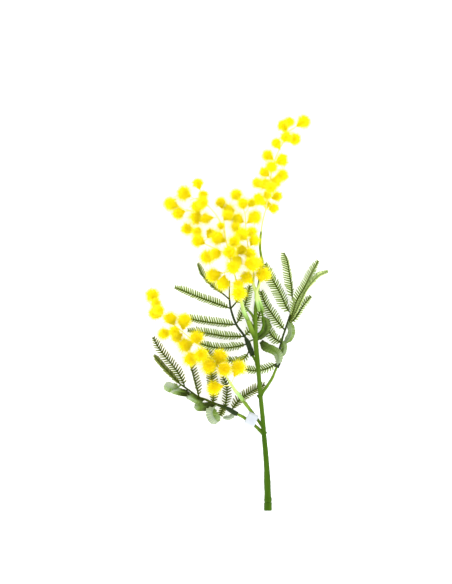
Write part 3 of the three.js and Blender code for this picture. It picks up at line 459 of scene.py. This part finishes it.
def placed_heads():
    """Each spray's heads as [x, y, z, radius]. They follow the frame's own rule for their heights."""
    leaves = [Route(p["route"]).samples() for frond in (FROND_A, FROND_B, FROND_C) for p in frond["pinnae"]]
    stems = [route.samples() for route in routes_of([STEM, *SHOOTS])]
    fixed = [point for stem in stems for point in stem]
    spray_heads = []
    for spray in SPRAYS.values():
        twigs = [point for route in routes_of(spray["twigs"]) for point in route.samples()]
        fixed += twigs
        own = []
        for i, (x, y, radius) in enumerate(spray["heads"]):
            twig = min(twigs, key=lambda p: math.dist(p[:2], (x, y)))
            reach = radius + LEAFLET + LEAF_CLEAR
            covers = any(math.dist(p[:2], (x, y)) < reach for leaf in [*leaves, stems[0]] for p in leaf)
            lowest = FOLIAGE_TOP + radius if covers else radius - SEAT_DEPTH
            z = max(lowest, twig[2] + HEAD_LIFTS[i % len(HEAD_LIFTS)])
            under = twig[2] - height_apart(twig, (x, y, 0, radius))
            if z < twig[2] and under > lowest:
                z = min(z, under)
            own.append([x, y, z, radius])
        spray_heads.append(own)
    heads = [head for own in spray_heads for head in own]
    below = [*fixed, *heads]
    pairs = [(low, head, height_apart(low, head)) for low in below for head in heads if low is not head]
    pairs = [pair for pair in pairs if pair[2]]
    for _ in range(ROUNDS):
        for low, head, apart in pairs:
            over_twig = isinstance(low, tuple) and head[2] > low[2] - apart
            if head[2] > low[2] or over_twig:
                head[2] = max(head[2], low[2] + apart)
    return dict(zip(SPRAYS, spray_heads))


def seat_of(head, twigs):
    """The root of a head's pedicel on the nearest twig."""
    centre = Vector(head[:3])
    best = None
    for twig in twigs:
        for i in range(SAMPLES + 1):
            distance = (twig.at(twig.by_length(i / SAMPLES)) - centre).length
            if best is None or distance < best[0]:
                best = (distance, i / SAMPLES, twig)
    distance, share, twig = best
    back = PEDICEL_LEAN * distance / twig.length()
    return twig.at(twig.by_length(max(share - back, FURTHEST_BACK * share)))


# Mesh work

def new_form():
    """An empty mesh to work on, with the values that the materials read."""
    bm = bmesh.new()
    for name in ("tone", "along", "back", "edge"):
        bm.verts.layers.float.new(name)
    return bm


def mark(bm, verts, **values):
    for name, value in values.items():
        layer = bm.verts.layers.float[name]
        for v in verts:
            v[layer] = value


def placed(at, way, left, up, scale=1.0):
    """The matrix that puts a ring made in X and Y across a route."""
    return Matrix.Translation(at) @ Matrix((left * scale, up * scale, way)).transposed().to_4x4()


def tube(bm, route, sides, per_span, tone=lambda share: 0.0, skin=0, mouth=0.0):
    """A round limb along a route, closed with a rounded end.

    With a mouth, its start is a socket that deep.
    """
    steps = per_span * (len(route.points) - 1)
    shares = [i / steps for i in range(steps + 1)]
    frames = route.frames(shares)
    first = placed(*frames[0], route.radii[0])
    ring = bmesh.ops.create_circle(bm, segments=sides, radius=1, matrix=first)["verts"]
    edges = list({e for v in ring for e in v.link_edges})
    start, made, last = edges, [], first
    mark(bm, ring, tone=tone(0), along=0)
    rings = [(placed(*f, route.radius(s)), s) for f, s in zip(frames[1:], shares[1:])]
    at, way, left, up = frames[-1]
    end = route.radii[-1]
    for reach, width in ROUND_END:
        rings.append((placed(at + way * reach * end, way, left, up, end * width), 1))
    for matrix, share in rings:
        grown = bmesh.ops.extrude_edge_only(bm, edges=edges)["geom"]
        verts = [g for g in grown if isinstance(g, bmesh.types.BMVert)]
        made += [g for g in grown if isinstance(g, bmesh.types.BMFace)]
        edges = [g for g in grown if isinstance(g, bmesh.types.BMEdge) and all(v in verts for v in g.verts)]
        bmesh.ops.transform(bm, matrix=matrix @ last.inverted(), verts=verts)
        mark(bm, verts, tone=tone(share), along=share)
        last = matrix
    made += bmesh.ops.contextual_create(bm, geom=edges)["faces"]
    cap = bmesh.ops.contextual_create(bm, geom=start)["faces"]
    made += cap
    if mouth:
        made += bmesh.ops.inset_region(bm, faces=cap, thickness=SLEEVE_WALL)["faces"]
        bmesh.ops.translate(bm, vec=frames[0][1] * mouth, verts=cap[0].verts)
        made += bmesh.ops.extrude_discrete_faces(bm, faces=cap)["faces"]
    for face in made:
        if face.is_valid:
            face.material_index = skin
            face.smooth = True
    return made


def add_copy(bm, form, matrix):
    """A copy of a small mesh, put in place. Returns its vertices."""
    before = len(bm.verts)
    bm.from_mesh(form)
    bm.verts.ensure_lookup_table()
    verts = bm.verts[before:]
    bmesh.ops.transform(bm, matrix=matrix, verts=verts)
    return verts


def mesh_of(name, bm):
    """The form as a mesh, which ends the work on it."""
    mesh = bpy.data.meshes.new(name)
    bm.to_mesh(mesh)
    bm.free()
    return mesh


def shown(name, data):
    """A new object in the scene."""
    made = bpy.data.objects.new(name, data)
    bpy.context.scene.collection.objects.link(made)
    return made


def cut_end():
    """The middle of the stem's cut end on the table, in the frame's metres."""
    stem = [v.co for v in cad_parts["main_stem"].data.vertices]
    lowest = min(co.y for co in stem)
    ring = [co.x for co in stem if co.y < lowest + 1e-4]
    return Vector(((min(ring) + max(ring)) / 2, lowest, 0))


ORIGIN = cut_end()


def finished(name, bm, materials, node=None):
    """The form as a piece of the object, in metres in its place."""
    bmesh.ops.transform(bm, matrix=Matrix.Translation(ORIGIN) @ Matrix.Scale(1e-3, 4), verts=bm.verts)
    bmesh.ops.recalc_face_normals(bm, faces=bm.faces)
    piece = shown(name, mesh_of(name, bm))
    for material in materials:
        piece.data.materials.append(material)
    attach(piece, "root")
    if node:
        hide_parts(node)


# Materials

def srgb(code):
    """A hex colour as the linear one that Blender works in."""
    channels = [int(code[i:i + 2], 16) / 255 for i in (1, 3, 5)]
    return (*[c / 12.92 if c <= 0.04045 else ((c + 0.055) / 1.055) ** 2.4 for c in channels], 1)


def add(tree, kind, inputs=None, output=None, **settings):
    """One node with its settings, whose inputs are values or outputs of other nodes. Returns its output."""
    made = tree.nodes.new("ShaderNode" + kind)
    for name, value in settings.items():
        setattr(made, name, value)
    sockets = {socket.name: socket for socket in made.inputs if socket.enabled}
    for name, value in (inputs or {}).items():
        if isinstance(value, bpy.types.NodeSocket):
            tree.links.new(value, sockets[name])
        else:
            sockets[name].default_value = value
    return made.outputs[output] if output else next(socket for socket in made.outputs if socket.enabled)


def material(name, **constants):
    """A new material: its node tree and its Principled shader, with the values that are the same all over."""
    made = bpy.data.materials.new(name)
    made.use_nodes = True
    shader = made.node_tree.nodes["Principled BSDF"]
    for socket, value in constants.items():
        shader.inputs[socket.replace("_", " ")].default_value = value
    return made, made.node_tree, shader


def mottled(tree, size, stretch=(1, 1, 1), detail=3.0):
    """A soft random pattern whose spots are a size in millimetres."""
    place = add(tree, "TexCoord", output="Object")
    spread = add(tree, "Mapping", {"Vector": place, "Scale": stretch})
    return add(tree, "TexNoise", {"Vector": spread, "Scale": 1000 / size, "Detail": detail})


def between(tree, share, first, second, low=0.3, high=0.7):
    """A colour from the first to the second as share goes from low to high."""
    colour = add(tree, "ValToRGB", {"Fac": share})
    for stop, place, shade in zip(colour.node.color_ramp.elements, (low, high), (first, second)):
        stop.position = place
        stop.color = srgb(shade)
    return colour


def dressed(tree, shader, colour, roughness=None, relief=None):
    """Links a material's colour to its shader, and two patterns.

    Roughness is a pattern with its ends, and relief a pattern with its strength and depth in millimetres.
    """
    tree.links.new(colour, shader.inputs["Base Color"])
    if roughness:
        pattern, low, high = roughness
        ranged = add(tree, "MapRange", {"Value": pattern, "To Min": low, "To Max": high})
        tree.links.new(ranged, shader.inputs["Roughness"])
    if relief:
        pattern, strength, depth = relief
        bump = add(tree, "Bump", {"Height": pattern, "Strength": strength, "Distance": depth / 1000})
        tree.links.new(bump, shader.inputs["Normal"])


def moulded_stem():
    """Polyethylene moulded over wire: satin, streaked along its length where the plastic ran."""
    made, tree, shader = material("moulded_polyethylene_green", IOR=1.5, Specular_IOR_Level=0.05)
    streaks = mottled(tree, 9, (1, 0.22, 1))
    spots = mottled(tree, 2.5, (1, 0.5, 1))
    green = between(tree, streaks, "#274202", "#3a5808", 0.35)
    olive = between(tree, streaks, "#546d15", "#748d32")
    yellowed = between(tree, streaks, "#5f7a20", "#788f34")
    tone = add(tree, "Attribute", output="Fac", attribute_name="tone")
    lighter = add(tree, "MapRange", {"Value": tone})
    older = add(tree, "MapRange", {"Value": tone, "From Max": -1})
    shoots = add(tree, "Mix", {"Factor": lighter, "A": green, "B": olive}, data_type="RGBA")
    colour = add(tree, "Mix", {"Factor": older, "A": shoots, "B": yellowed}, data_type="RGBA")
    dressed(tree, shader, colour, (spots, 0.34, 0.52), (spots, 0.35, 0.25))
    return made


def moulded_stalk():
    """Softer, paler polyethylene of the flower stalks: half matt, from olive at the sleeve to pale yellow."""
    made, tree, shader = material(
        "moulded_polyethylene_pale", IOR=1.5, Specular_IOR_Level=0.15,
        Subsurface_Weight=0.15, Subsurface_Scale=1,
    )
    shader.inputs["Subsurface Radius"].default_value = (0.001, 0.0012, 0.0004)
    spots = mottled(tree, 3, (1, 0.4, 1))
    green = between(tree, spots, "#80a452", "#99ba72", 0.35, 0.65)
    yellow = between(tree, spots, "#e8e47c", "#f0ec96", 0.35, 0.65)
    olive = between(tree, spots, "#547018", "#76923a", 0.35, 0.65)
    tone = add(tree, "Attribute", output="Fac", attribute_name="tone")
    older = add(tree, "MapRange", {"Value": tone, "From Max": -1})
    pale = add(tree, "Mix", {"Factor": tone, "A": green, "B": yellow}, data_type="RGBA")
    colour = add(tree, "Mix", {"Factor": older, "A": pale, "B": olive}, data_type="RGBA")
    dressed(tree, shader, colour, (spots, 0.4, 0.58), (spots, 0.25, 0.2))
    return made


def moulded_leaf():
    """Thin moulded polyethylene leaflets: dark along the vein, pale at the margins, where they are thinnest.

    Their tone goes from -1, an old olive, to 1, a fresh green. Behind, it goes from -1, painted shade,
    through the undersides' green to 1, their silver, which the curled pinnae also use for painted light; the
    pale margins show more as it rises.
    """
    made, tree, shader = material("moulded_polyethylene_leaf", IOR=1.48, Specular_IOR_Level=0.04)
    patches = mottled(tree, 14)
    veins = mottled(tree, 1.1, detail=2)
    names = ("along", "edge", "tone", "back")
    along, edge, tone, back = [add(tree, "Attribute", output="Fac", attribute_name=name) for name in names]
    old = between(tree, along, "#222a02", "#3e4707", 0.05, 0.95)
    fresh = between(tree, along, "#2e4709", "#4f691d", 0.05, 0.95)
    old_margin = between(tree, along, "#5c6826", "#a4ac68", 0.05, 0.95)
    fresh_margin = between(tree, along, "#acc16c", "#c7d79c", 0.05, 0.95)
    age = add(tree, "MapRange", {"Value": tone, "From Min": -1, "From Max": 1})
    thin = add(tree, "MapRange", {"Value": edge, "From Min": 0.3, "From Max": 0.8})
    vein = add(tree, "Mix", {"Factor": age, "A": old, "B": fresh}, data_type="RGBA")
    margin = add(tree, "Mix", {"Factor": age, "A": old_margin, "B": fresh_margin}, data_type="RGBA")
    front = add(tree, "Mix", {"Factor": thin, "A": vein, "B": margin}, data_type="RGBA")
    green = between(tree, patches, "#4c6420", "#607a36")
    # the undersides' silver, which the curled pinnae also use as painted light
    silver = between(tree, patches, "#717d67", "#8c9782")
    # painted shade of the curled undersides
    dark = between(tree, patches, "#1b2506", "#2d380f")
    silvery = add(tree, "MapRange", {"Value": tone})
    shaded = add(tree, "MapRange", {"Value": tone, "From Max": -1})
    pale = add(tree, "Mix", {"Factor": silvery, "A": green, "B": silver}, data_type="RGBA")
    full = add(tree, "Mix", {"Factor": shaded, "A": pale, "B": dark}, data_type="RGBA")
    lit = {"Value": tone, "From Min": -1, "From Max": 0.5, "To Min": 0.04, "To Max": 0.3}
    showing = add(tree, "MapRange", {"Value": thin, "To Max": add(tree, "MapRange", lit)})
    behind = add(tree, "Mix", {"Factor": showing, "A": full, "B": margin}, data_type="RGBA")
    colour = add(tree, "Mix", {"Factor": back, "A": front, "B": behind}, data_type="RGBA")
    dressed(tree, shader, colour, (patches, 0.42, 0.6), (veins, 0.3, 0.12))
    return made


def moulded_rib():
    """The fronds' ribs and rachis: the same plastic, thicker, so darker, with a low gloss."""
    made, tree, shader = material("moulded_polyethylene_rib", IOR=1.5, Specular_IOR_Level=0.06)
    spots = mottled(tree, 4)
    tone = add(tree, "Attribute", output="Fac", attribute_name="tone")
    rachis = between(tree, spots, "#141f0a", "#28351a")
    rib = between(tree, spots, "#273402", "#3a4705")
    colour = add(tree, "Mix", {"Factor": tone, "A": rachis, "B": rib}, data_type="RGBA")
    dressed(tree, shader, colour, (spots, 0.38, 0.55), (spots, 0.3, 0.2))
    return made


def flock():
    """Nylon flock on soft balls: matt and velvety, golden where it is dense and lemon where it thins out.

    Its fibres pass light on to each other, and a faint painted glow, an emission though the flock is no lamp,
    keeps them yellow in each other's shade.
    """
    made, tree, shader = material(
        "nylon_flock_yellow", Sheen_Weight=0.35, Sheen_Roughness=0.4, Roughness=0.95, Specular_IOR_Level=0.08,
        # the emission is a painted glow that lifts the heads' shade
        Subsurface_Weight=0.7, Subsurface_Scale=0.0011, Emission_Strength=0.08,
    )
    shader.inputs["Subsurface Radius"].default_value = (1, 0.85, 0.15)
    shader.inputs["Sheen Tint"].default_value = srgb("#fff000")
    shader.inputs["Emission Color"].default_value = srgb("#ffee00")
    fibres = mottled(tree, 0.5, detail=2)
    clumps = mottled(tree, 3.5)
    tone, along = [add(tree, "Attribute", output="Fac", attribute_name=name) for name in ("tone", "along")]
    golden = between(tree, clumps, "#d2ae02", "#d6b204")
    lemon = between(tree, clumps, "#f0dc06", "#f4e408")
    pale_ends = between(tree, clumps, "#fcf014", "#fff628")
    golden_ends = between(tree, clumps, "#e8d414", "#eedc22")
    dense = add(tree, "Mix", {"Factor": tone, "A": lemon, "B": golden}, data_type="RGBA")
    ends = add(tree, "Mix", {"Factor": tone, "A": pale_ends, "B": golden_ends}, data_type="RGBA")
    colour = add(tree, "Mix", {"Factor": along, "A": dense, "B": ends}, data_type="RGBA")
    dressed(tree, shader, colour, relief=(fibres, 0.5, 0.3))
    return made


def label_film():
    """A blank polypropylene label: milky, faintly bluish and slightly glossy."""
    made, tree, shader = material("polypropylene_label", IOR=1.49, Roughness=0.38)
    haze = between(tree, mottled(tree, 8), "#9ea3ac", "#a8aeb3")
    dressed(tree, shader, haze, relief=(mottled(tree, 0.6), 0.08, 0.1))
    return made


STEM_GREEN = moulded_stem()
STALK_PALE = moulded_stalk()
LEAF_GREEN = moulded_leaf()
RIB_DARK = moulded_rib()
FLOCK_YELLOW = flock()
LABEL = label_film()


# Stem

STEM_YELLOWING = ((80, 0), (140, 0.2), (236, 0.3), (262, 1))  # lengths along it, and how yellowed it is
SHOOT_RUNS_IN = 2.5  # a shoot has its own colour this many times sooner than at its end
MOULDED = {"depth": 0.12, "wide_lumps": 0.45, "small_lumps": 1.3, "small_share": 0.5}


def main_stem():
    bm = new_form()
    route = Route(STEM)

    def yellowing(share):
        y = route.at(share).y
        for (low, before), (high, after) in zip(STEM_YELLOWING, STEM_YELLOWING[1:]):
            if y < high:
                break
        return -(before + (after - before) * min(1, max(0, (y - low) / (high - low))))

    tube(bm, route, *STEM_RINGS, yellowing)
    for shoot, light in zip(routes_of(SHOOTS), SHOOT_TONES):
        tube(bm, shoot, *SHOOT_RINGS, lambda share, light=light: light * min(1, SHOOT_RUNS_IN * share))
    for v in bm.verts:
        v.normal_update()
        small = MOULDED["small_share"] * noise.noise(v.co * MOULDED["small_lumps"])
        lump = noise.noise(v.co * MOULDED["wide_lumps"]) + small
        v.co += v.normal * MOULDED["depth"] * lump
        v.co.z = max(0, v.co.z)
    finished("stem_moulding", bm, [STEM_GREEN], "main_stem")


# Fronds

LEAFLET_BASE = 1.1  # width at the rib, as a share of the leaflet's named width
LEAFLET_TIP_CURVE = 1.8
LEAFLET_CREASE = 0.1  # how far the margins stand above the vein, as a share of the width
LEAFLET_SAG = 0.45  # of its tip


def leaflet_form(width, taper):
    """One leaflet along +X: a thin blade that narrows to its tip, creased along its vein and drooping."""
    bm = new_form()
    bmesh.ops.create_grid(bm, x_segments=5, y_segments=2, size=0.5)
    for v in bm.verts:
        share, side = v.co.x + 0.5, 2 * v.co.y
        swell = LEAFLET_BASE - taper * share**LEAFLET_TIP_CURVE
        lift = LEAFLET_CREASE * abs(side) * width - LEAFLET_SAG * share**2
        v.co = Vector((share, side * swell * width / 2, lift))
        mark(bm, [v], along=share, edge=abs(side))
    front = set(bm.verts)
    bmesh.ops.solidify(bm, geom=bm.faces[:], thickness=LEAFLET_THICK)
    mark(bm, [v for v in bm.verts if v not in front], back=1)
    bmesh.ops.translate(bm, vec=(0, 0, LEAFLET_THICK / 2), verts=bm.verts)
    bmesh.ops.recalc_face_normals(bm, faces=bm.faces)
    for face in bm.faces:
        face.smooth = True
        face.material_index = 1
    return mesh_of("leaflet", bm)


OPEN_LEAFLET = leaflet_form(LEAFLET_WIDTH, taper=0.5)
CLOSED_LEAFLET = leaflet_form(CLOSED_WIDTH, taper=0.15)
DROOP_VARIES, LEAN_VARIES, TONE_VARIES = 5, 4, 0.15
TIP_LEAN = 18  # an open pinna's leaflets lean this much more towards its tip
OPEN_LENGTHS, CLOSED_LENGTHS = (0.94, 1.04), (0.98, 1.02)


def pinna(
    bm, draw, tone, route, apart, droop=(20, 20), bare=0.05, reach=1.0, lean=LEAFLET_LEAN, pitch=None,
    silver=None, sides=(0, 0),
):
    """A rib with leaflets on both sides. The leaflets on its left and right droop by their own angles.

    A curled one shows its leaflets' undersides, with painted shade and light. Its silver runs from the first
    value at its base to the second at its tip, painted shade below 0, with something added on its left and on
    its right that paints one side lighter and the other darker.
    """
    wide, thin = RIB_RADIUS
    rib = Route([[*p, wide + (thin - wide) * i / (len(route) - 1)] for i, p in enumerate(route)])
    if silver:
        # a curled one's rib takes the same painted shade and silver as its leaflets
        ribbed = tube(bm, rib, *RIB_RINGS, lambda share: silver[0] + (silver[1] - silver[0]) * share, skin=1)
        mark(bm, {v for face in ribbed if face.is_valid for v in face.verts}, back=1)
    else:
        tube(bm, rib, *RIB_RINGS, lambda share: 1.0)
    closed = silver or pitch
    form = CLOSED_LEAFLET if closed else OPEN_LEAFLET
    pitch = pitch or (CLOSED_PITCH if closed else LEAFLET_PITCH * apart)
    pairs = round((1 - bare) * rib.length() / pitch)
    shares = [rib.by_length(bare + (1 - bare) * (i + 0.5) / pairs) for i in range(pairs)]
    for i, (at, way, left, up) in enumerate(rib.frames(shares)):
        place = (i + 0.5) / pairs
        grown = [END_LEAFLET[end] + (1 - END_LEAFLET[end]) * s / FULL_WITHIN[end]
                 for end, s in ((0, place), (1, 1 - place))]
        for side, fall, more in ((1, droop[0], sides[0]), (-1, droop[1], sides[1])):
            fall = math.radians(fall + draw.uniform(-DROOP_VARIES, DROOP_VARIES))
            lean_here = lean + draw.uniform(-LEAN_VARIES, LEAN_VARIES)
            ahead = math.radians(lean_here + (0 if closed else TIP_LEAN * place**3))
            varied = draw.uniform(*(CLOSED_LENGTHS if closed else OPEN_LENGTHS))
            length = LEAFLET * reach * min(1, *grown) * varied
            out = left * side * math.cos(fall) - up * math.sin(fall)
            face = up * math.cos(fall) + left * side * math.sin(fall)
            along = (out * math.cos(ahead) + way * math.sin(ahead)).normalized()
            turned = Matrix((along, face.cross(along), face)).transposed().to_4x4()
            if silver:
                turned = turned @ Matrix.Rotation(math.pi, 4, "X")
            size = Matrix.Diagonal((length, 1 if closed else 1 / apart, 1, 1))
            verts = add_copy(bm, form, Matrix.Translation(at) @ turned @ size)
            # along a curl, from painted shade to silver, with the side's painted light and shade added below
            if silver:
                tone = silver[0] + (silver[1] - silver[0]) * place
            mark(bm, verts, tone=tone + more + draw.uniform(-TONE_VARIES, TONE_VARIES))


RACHIS_RUNS_IN = 3  # a rachis is olive this many times sooner than at its end


def frond(name, plan, node, seed):
    draw = random.Random(seed)
    bm = new_form()
    tube(bm, Route(plan["sleeve"]), *SLEEVE_RINGS, mouth=SOCKET_DEPTH)
    olive = plan["olive"]
    tube(bm, Route(plan["rachis"]), *RACHIS_RINGS, lambda share: olive * min(1, RACHIS_RUNS_IN * share))
    for leaf in plan["pinnae"]:
        pinna(bm, draw, plan["tone"], **{"apart": plan["apart"], **leaf})
    for v in bm.verts:
        v.co.z = max(0, v.co.z)
    finished(name, bm, [RIB_DARK, LEAF_GREEN], node)


# Sprays

def flocked_form(draw):
    """A ball of one unit's radius under its fibres, which stand out all over it."""
    bm = new_form()
    bmesh.ops.create_icosphere(bm, subdivisions=3, radius=CORE)
    for number in range(FIBRES):
        height = 1 - 2 * (number + draw.uniform(*FIBRE_STAGGER)) / FIBRES
        turn = number * GOLDEN_ANGLE
        level = math.sqrt(1 - height**2)
        way = Vector((level * math.cos(turn), level * math.sin(turn), height))
        tip = draw.uniform(*FIBRE_TIPS)
        long = tip - ROOT
        turned = way.to_track_quat("Z", "Y").to_matrix().to_4x4()
        made = bmesh.ops.create_cone(
            bm, cap_ends=True, segments=3, radius1=FIBRE_RADIUS, radius2=0, depth=long,
            matrix=Matrix.Translation(way * (ROOT + long / 2)) @ turned,
        )["verts"]
        for v in made:
            if v.is_valid:
                mark(bm, [v], along=max(0, (v.co.length - CORE) / (FIBRE_TIPS[1] - CORE)))
    return mesh_of("head", bm)


FLOCKED_BALL = flocked_form(random.Random(8))


LUMPS = ((0.07, 1.7), (0.03, 5))  # of a head: how much each kind swells it, and how closely they follow
NECK_WITHIN = 0.35  # cosine of the angle round the pedicel inside which a head is drawn out
NECK = {"narrower": 0.55, "narrows": 1.5, "reaches": 2.2, "shorter_fibres": 0.7}


def head(bm, draw, centre, radius, inward, neck, tone):
    """A flocked ball, a little lumpy, drawn out to a neck at its pedicel."""
    (wide, wide_scale), (small, small_scale) = LUMPS
    ball = new_form()
    ball.from_mesh(FLOCKED_BALL)
    radius *= FULLNESS
    seed = Vector([draw.uniform(0, 99) for _ in range(3)])
    spun = Matrix.Rotation(draw.uniform(0, math.tau), 3, seed)
    for v in ball.verts:
        place = spun @ v.co
        way = place.normalized()
        lump = wide * noise.noise(way * wide_scale + seed)
        size = radius * (1 + lump + small * noise.noise(way * small_scale + seed))
        near = max(0, (way.dot(inward) - NECK_WITHIN) / (1 - NECK_WITHIN))
        side = way - inward * way.dot(inward)
        reach = CORE + (place.length - CORE) * (1 - NECK["shorter_fibres"] * near)
        body = (way - side * NECK["narrower"] * near**NECK["narrows"]) * size * reach
        v.co = body + inward * radius * (neck - 1) * near**NECK["reaches"]
    mark(ball, ball.verts, tone=tone)
    for face in ball.faces:
        face.smooth = True
    for v in ball.verts:
        v.co.z = max(-centre.z, v.co.z)
    mesh = mesh_of("head", ball)
    add_copy(bm, mesh, Matrix.Translation(centre))
    bpy.data.meshes.remove(mesh)


PALE_OVER, OLIVE_OVER = 80, 12  # from its sleeve, a stalk goes to yellow and out of olive over these lengths
OLIVE_AT_SLEEVE = 0.8
THINNED_UNDER = 1.25  # a stalk of less than this radius is past its sleeve
NECKS = (1.4, 1.9)  # how far a head's neck reaches, in its radii
NECK_TAKES = 0.93  # share of the neck's reach at which the pedicel's end stands
SHORTEST_PEDICEL = 0.5
PEDICEL_BOW, PEDICEL_SWAY = 0.15, 0.08  # towards the head and to any side, as shares of its length
STEEPEST = 0.25  # a head's neck points up by no more than this, per its reach in plan
GREEN_OVER = 24  # the top spray's thin one starts green
HEAD_TONES = {  # of the flock, 0 lemon and 1 golden, at the spray's root and at its far end
    "spray_top": (0.25, 0.05),
    "spray_centre": (0.5, 0.1),
    "spray_left": (0.4, 0.4),
    "spray_lower": (1, 0.4),
}


def spray(name, plan, heads, node, seed):
    draw = random.Random(seed)
    twigs = routes_of(plan["twigs"])
    stalk, flowers = new_form(), new_form()
    root_end = twigs[0].points[0]

    def stalk_tone(place):
        away = (place - root_end).length
        if node == "spray_top":
            return min(1, away / GREEN_OVER)
        return min(1, away / PALE_OVER) - OLIVE_AT_SLEEVE * max(0, 1 - away / OLIVE_OVER)

    near_tone, far_tone = HEAD_TONES[node]
    furthest = max(math.dist(place[:2], root_end.xy) for place in heads)
    for i, twig in enumerate(twigs):
        twig.radii = [radius * (STALK_SHARE if radius < THINNED_UNDER else 1) for radius in twig.radii]
        mouth = SOCKET_DEPTH if i == 0 and node != "spray_top" else 0
        rings = TWIG_RINGS if i else STALK_RINGS
        tube(stalk, twig, *rings, lambda s, twig=twig: stalk_tone(twig.at(s)), mouth=mouth)
    for place in heads:
        centre, radius = Vector(place[:3]), place[3]
        root = seat_of(place, twigs)
        inward = root - centre
        inward.z = min(inward.z, STEEPEST * inward.xy.length)
        inward.normalize()
        neck = draw.uniform(*NECKS)
        end = centre + inward * (radius * neck * NECK_TAKES)
        away = (end - root).length
        if away > SHORTEST_PEDICEL:
            sway = Vector([draw.uniform(-1, 1) for _ in range(3)])
            wide, thin = PEDICEL_RADIUS
            middle = (root + end) / 2 + inward * PEDICEL_BOW * away + sway * PEDICEL_SWAY * away
            line = [[*root, wide], [*middle, (wide + thin) / 2], [*end, thin]]
            tube(stalk, Route(line), *RIB_RINGS, lambda share: 1.0)
        far = math.dist(place[:2], root_end.xy) / furthest
        tone = near_tone + (far_tone - near_tone) * far + draw.uniform(-TONE_VARIES, TONE_VARIES)
        head(flowers, draw, centre, radius, inward, neck, tone)
    for v in stalk.verts:
        v.co.z = max(0, v.co.z)
    finished(name + "_stalk", stalk, [STALK_PALE])
    finished(name + "_heads", flowers, [FLOCK_YELLOW], node)


# Tag

TAG = {  # its halves lie at two heights, over and under the shoots
    "width": 10.5, "length": 13.5, "thick": 0.45, "over": 14.9, "under": 10.1,
    "at": (-16.6, 91.2), "turn": 24,
}
FOLD_STEPS = 12


def tag():
    """A strip folded once, with its two halves over and under the low shoots."""
    bm = new_form()
    middle, rise = (TAG["over"] + TAG["under"]) / 2, (TAG["over"] - TAG["under"]) / 2
    straight = TAG["length"] - rise
    start = bm.verts.new((0, 0, rise))
    verts = bmesh.ops.extrude_vert_indiv(bm, verts=[start])["verts"]
    bmesh.ops.translate(bm, vec=(straight, 0, 0), verts=verts)
    spun = bmesh.ops.spin(
        bm, geom=verts, cent=(straight, 0, 0), axis=(0, 1, 0), angle=math.pi, steps=FOLD_STEPS,
    )
    last = [g for g in spun["geom_last"] if isinstance(g, bmesh.types.BMVert)]
    back = bmesh.ops.extrude_vert_indiv(bm, verts=last)["verts"]
    bmesh.ops.translate(bm, vec=(-straight, 0, 0), verts=back)
    wide = bmesh.ops.extrude_edge_only(bm, edges=bm.edges[:])["geom"]
    across = [g for g in wide if isinstance(g, bmesh.types.BMVert)]
    bmesh.ops.translate(bm, vec=(0, TAG["width"], 0), verts=across)
    bmesh.ops.recalc_face_normals(bm, faces=bm.faces)
    bmesh.ops.subdivide_edges(bm, edges=bm.edges[:], cuts=3, use_grid_fill=True)
    bmesh.ops.solidify(bm, geom=bm.faces[:], thickness=TAG["thick"])
    for face in bm.faces:
        face.smooth = True
    corner = Vector((-TAG["length"] / 2, -TAG["width"] / 2, middle))
    turn = Matrix.Rotation(math.radians(-90 - TAG["turn"]), 4, "Z")
    place = Matrix.Translation((*TAG["at"], 0))
    bmesh.ops.transform(bm, matrix=place @ turn @ Matrix.Translation(corner), verts=bm.verts)
    finished("label_strip", bm, [LABEL], "tag")


main_stem()
frond("frond_upper_left_leaf", FROND_A, "frond_upper_left", 11)
frond("frond_right_leaf", FROND_B, "frond_right", 12)
frond("frond_lower_left_leaf", FROND_C, "frond_lower_left", 13)
for order, (node, own) in enumerate(placed_heads().items()):
    spray(node, SPRAYS[node], own, node, 21 + order)
tag()


# Table, light and camera

TABLE = {"radius": 12, "sides": 96, "below": 0.0004, "grey": 0.8}  # its sizes are in metres
TABLE_GLOW = 0.3  # the sheet is lit from below, so that shadows on it are faint
ROOM_LIGHT = 2
SOFTBOX = {"turns": (35, 125, 215, 305), "away": 0.9, "height": 0.13, "size": (0.9, 0.2), "power": 4.5}
VIEW = {"middle": (-42, 219), "height": 584, "lens": 500, "sensor": 36, "level": 15}


def table():
    bm = bmesh.new()
    bmesh.ops.create_circle(bm, cap_ends=True, segments=TABLE["sides"], radius=TABLE["radius"])
    top = shown("table", mesh_of("table", bm))
    top.location = (0, 0, -TABLE["below"])
    made, _, shader = material("opal_acrylic_sheet", Roughness=0.7, Specular_IOR_Level=0.1)
    shader.inputs["Base Color"].default_value = (*[TABLE["grey"]] * 3, 1)
    shader.inputs["Emission Color"].default_value = (1, 1, 1, 1)
    shader.inputs["Emission Strength"].default_value = TABLE_GLOW
    top.data.materials.append(made)


def studio():
    """An even white room, with a low softbox on each side that lights the edges of what lies down."""
    world = bpy.data.worlds.new("studio")
    bpy.context.scene.world = world
    world.use_nodes = True
    world.node_tree.nodes["Background"].inputs["Color"].default_value = (1, 1, 1, 1)
    world.node_tree.nodes["Background"].inputs["Strength"].default_value = ROOM_LIGHT
    for turn in SOFTBOX["turns"]:
        light = bpy.data.lights.new("softbox", "AREA")
        light.shape = "RECTANGLE"
        light.size, light.size_y = SOFTBOX["size"]
        light.energy = SOFTBOX["power"]
        lamp = shown("softbox", light)
        away = Matrix.Rotation(math.radians(turn), 4, "Z") @ Vector((SOFTBOX["away"], 0, SOFTBOX["height"]))
        lamp.location = away
        lamp.rotation_euler = (-away).to_track_quat("-Z", "Y").to_euler()
        lamp.visible_camera = False


def camera():
    data = bpy.data.cameras.new("camera")
    data.lens, data.sensor_width = VIEW["lens"], VIEW["sensor"]
    away = VIEW["height"] / 1000 * VIEW["lens"] / VIEW["sensor"]
    eye = shown("camera", data)
    x, y = VIEW["middle"]
    eye.location = ORIGIN + Vector((x / 1000, y / 1000, VIEW["level"] / 1000 + away))
    data.clip_end = 4 * away
    bpy.context.scene.camera = eye


table()
studio()
camera()
bpy.context.scene.view_settings.view_transform = "Standard"
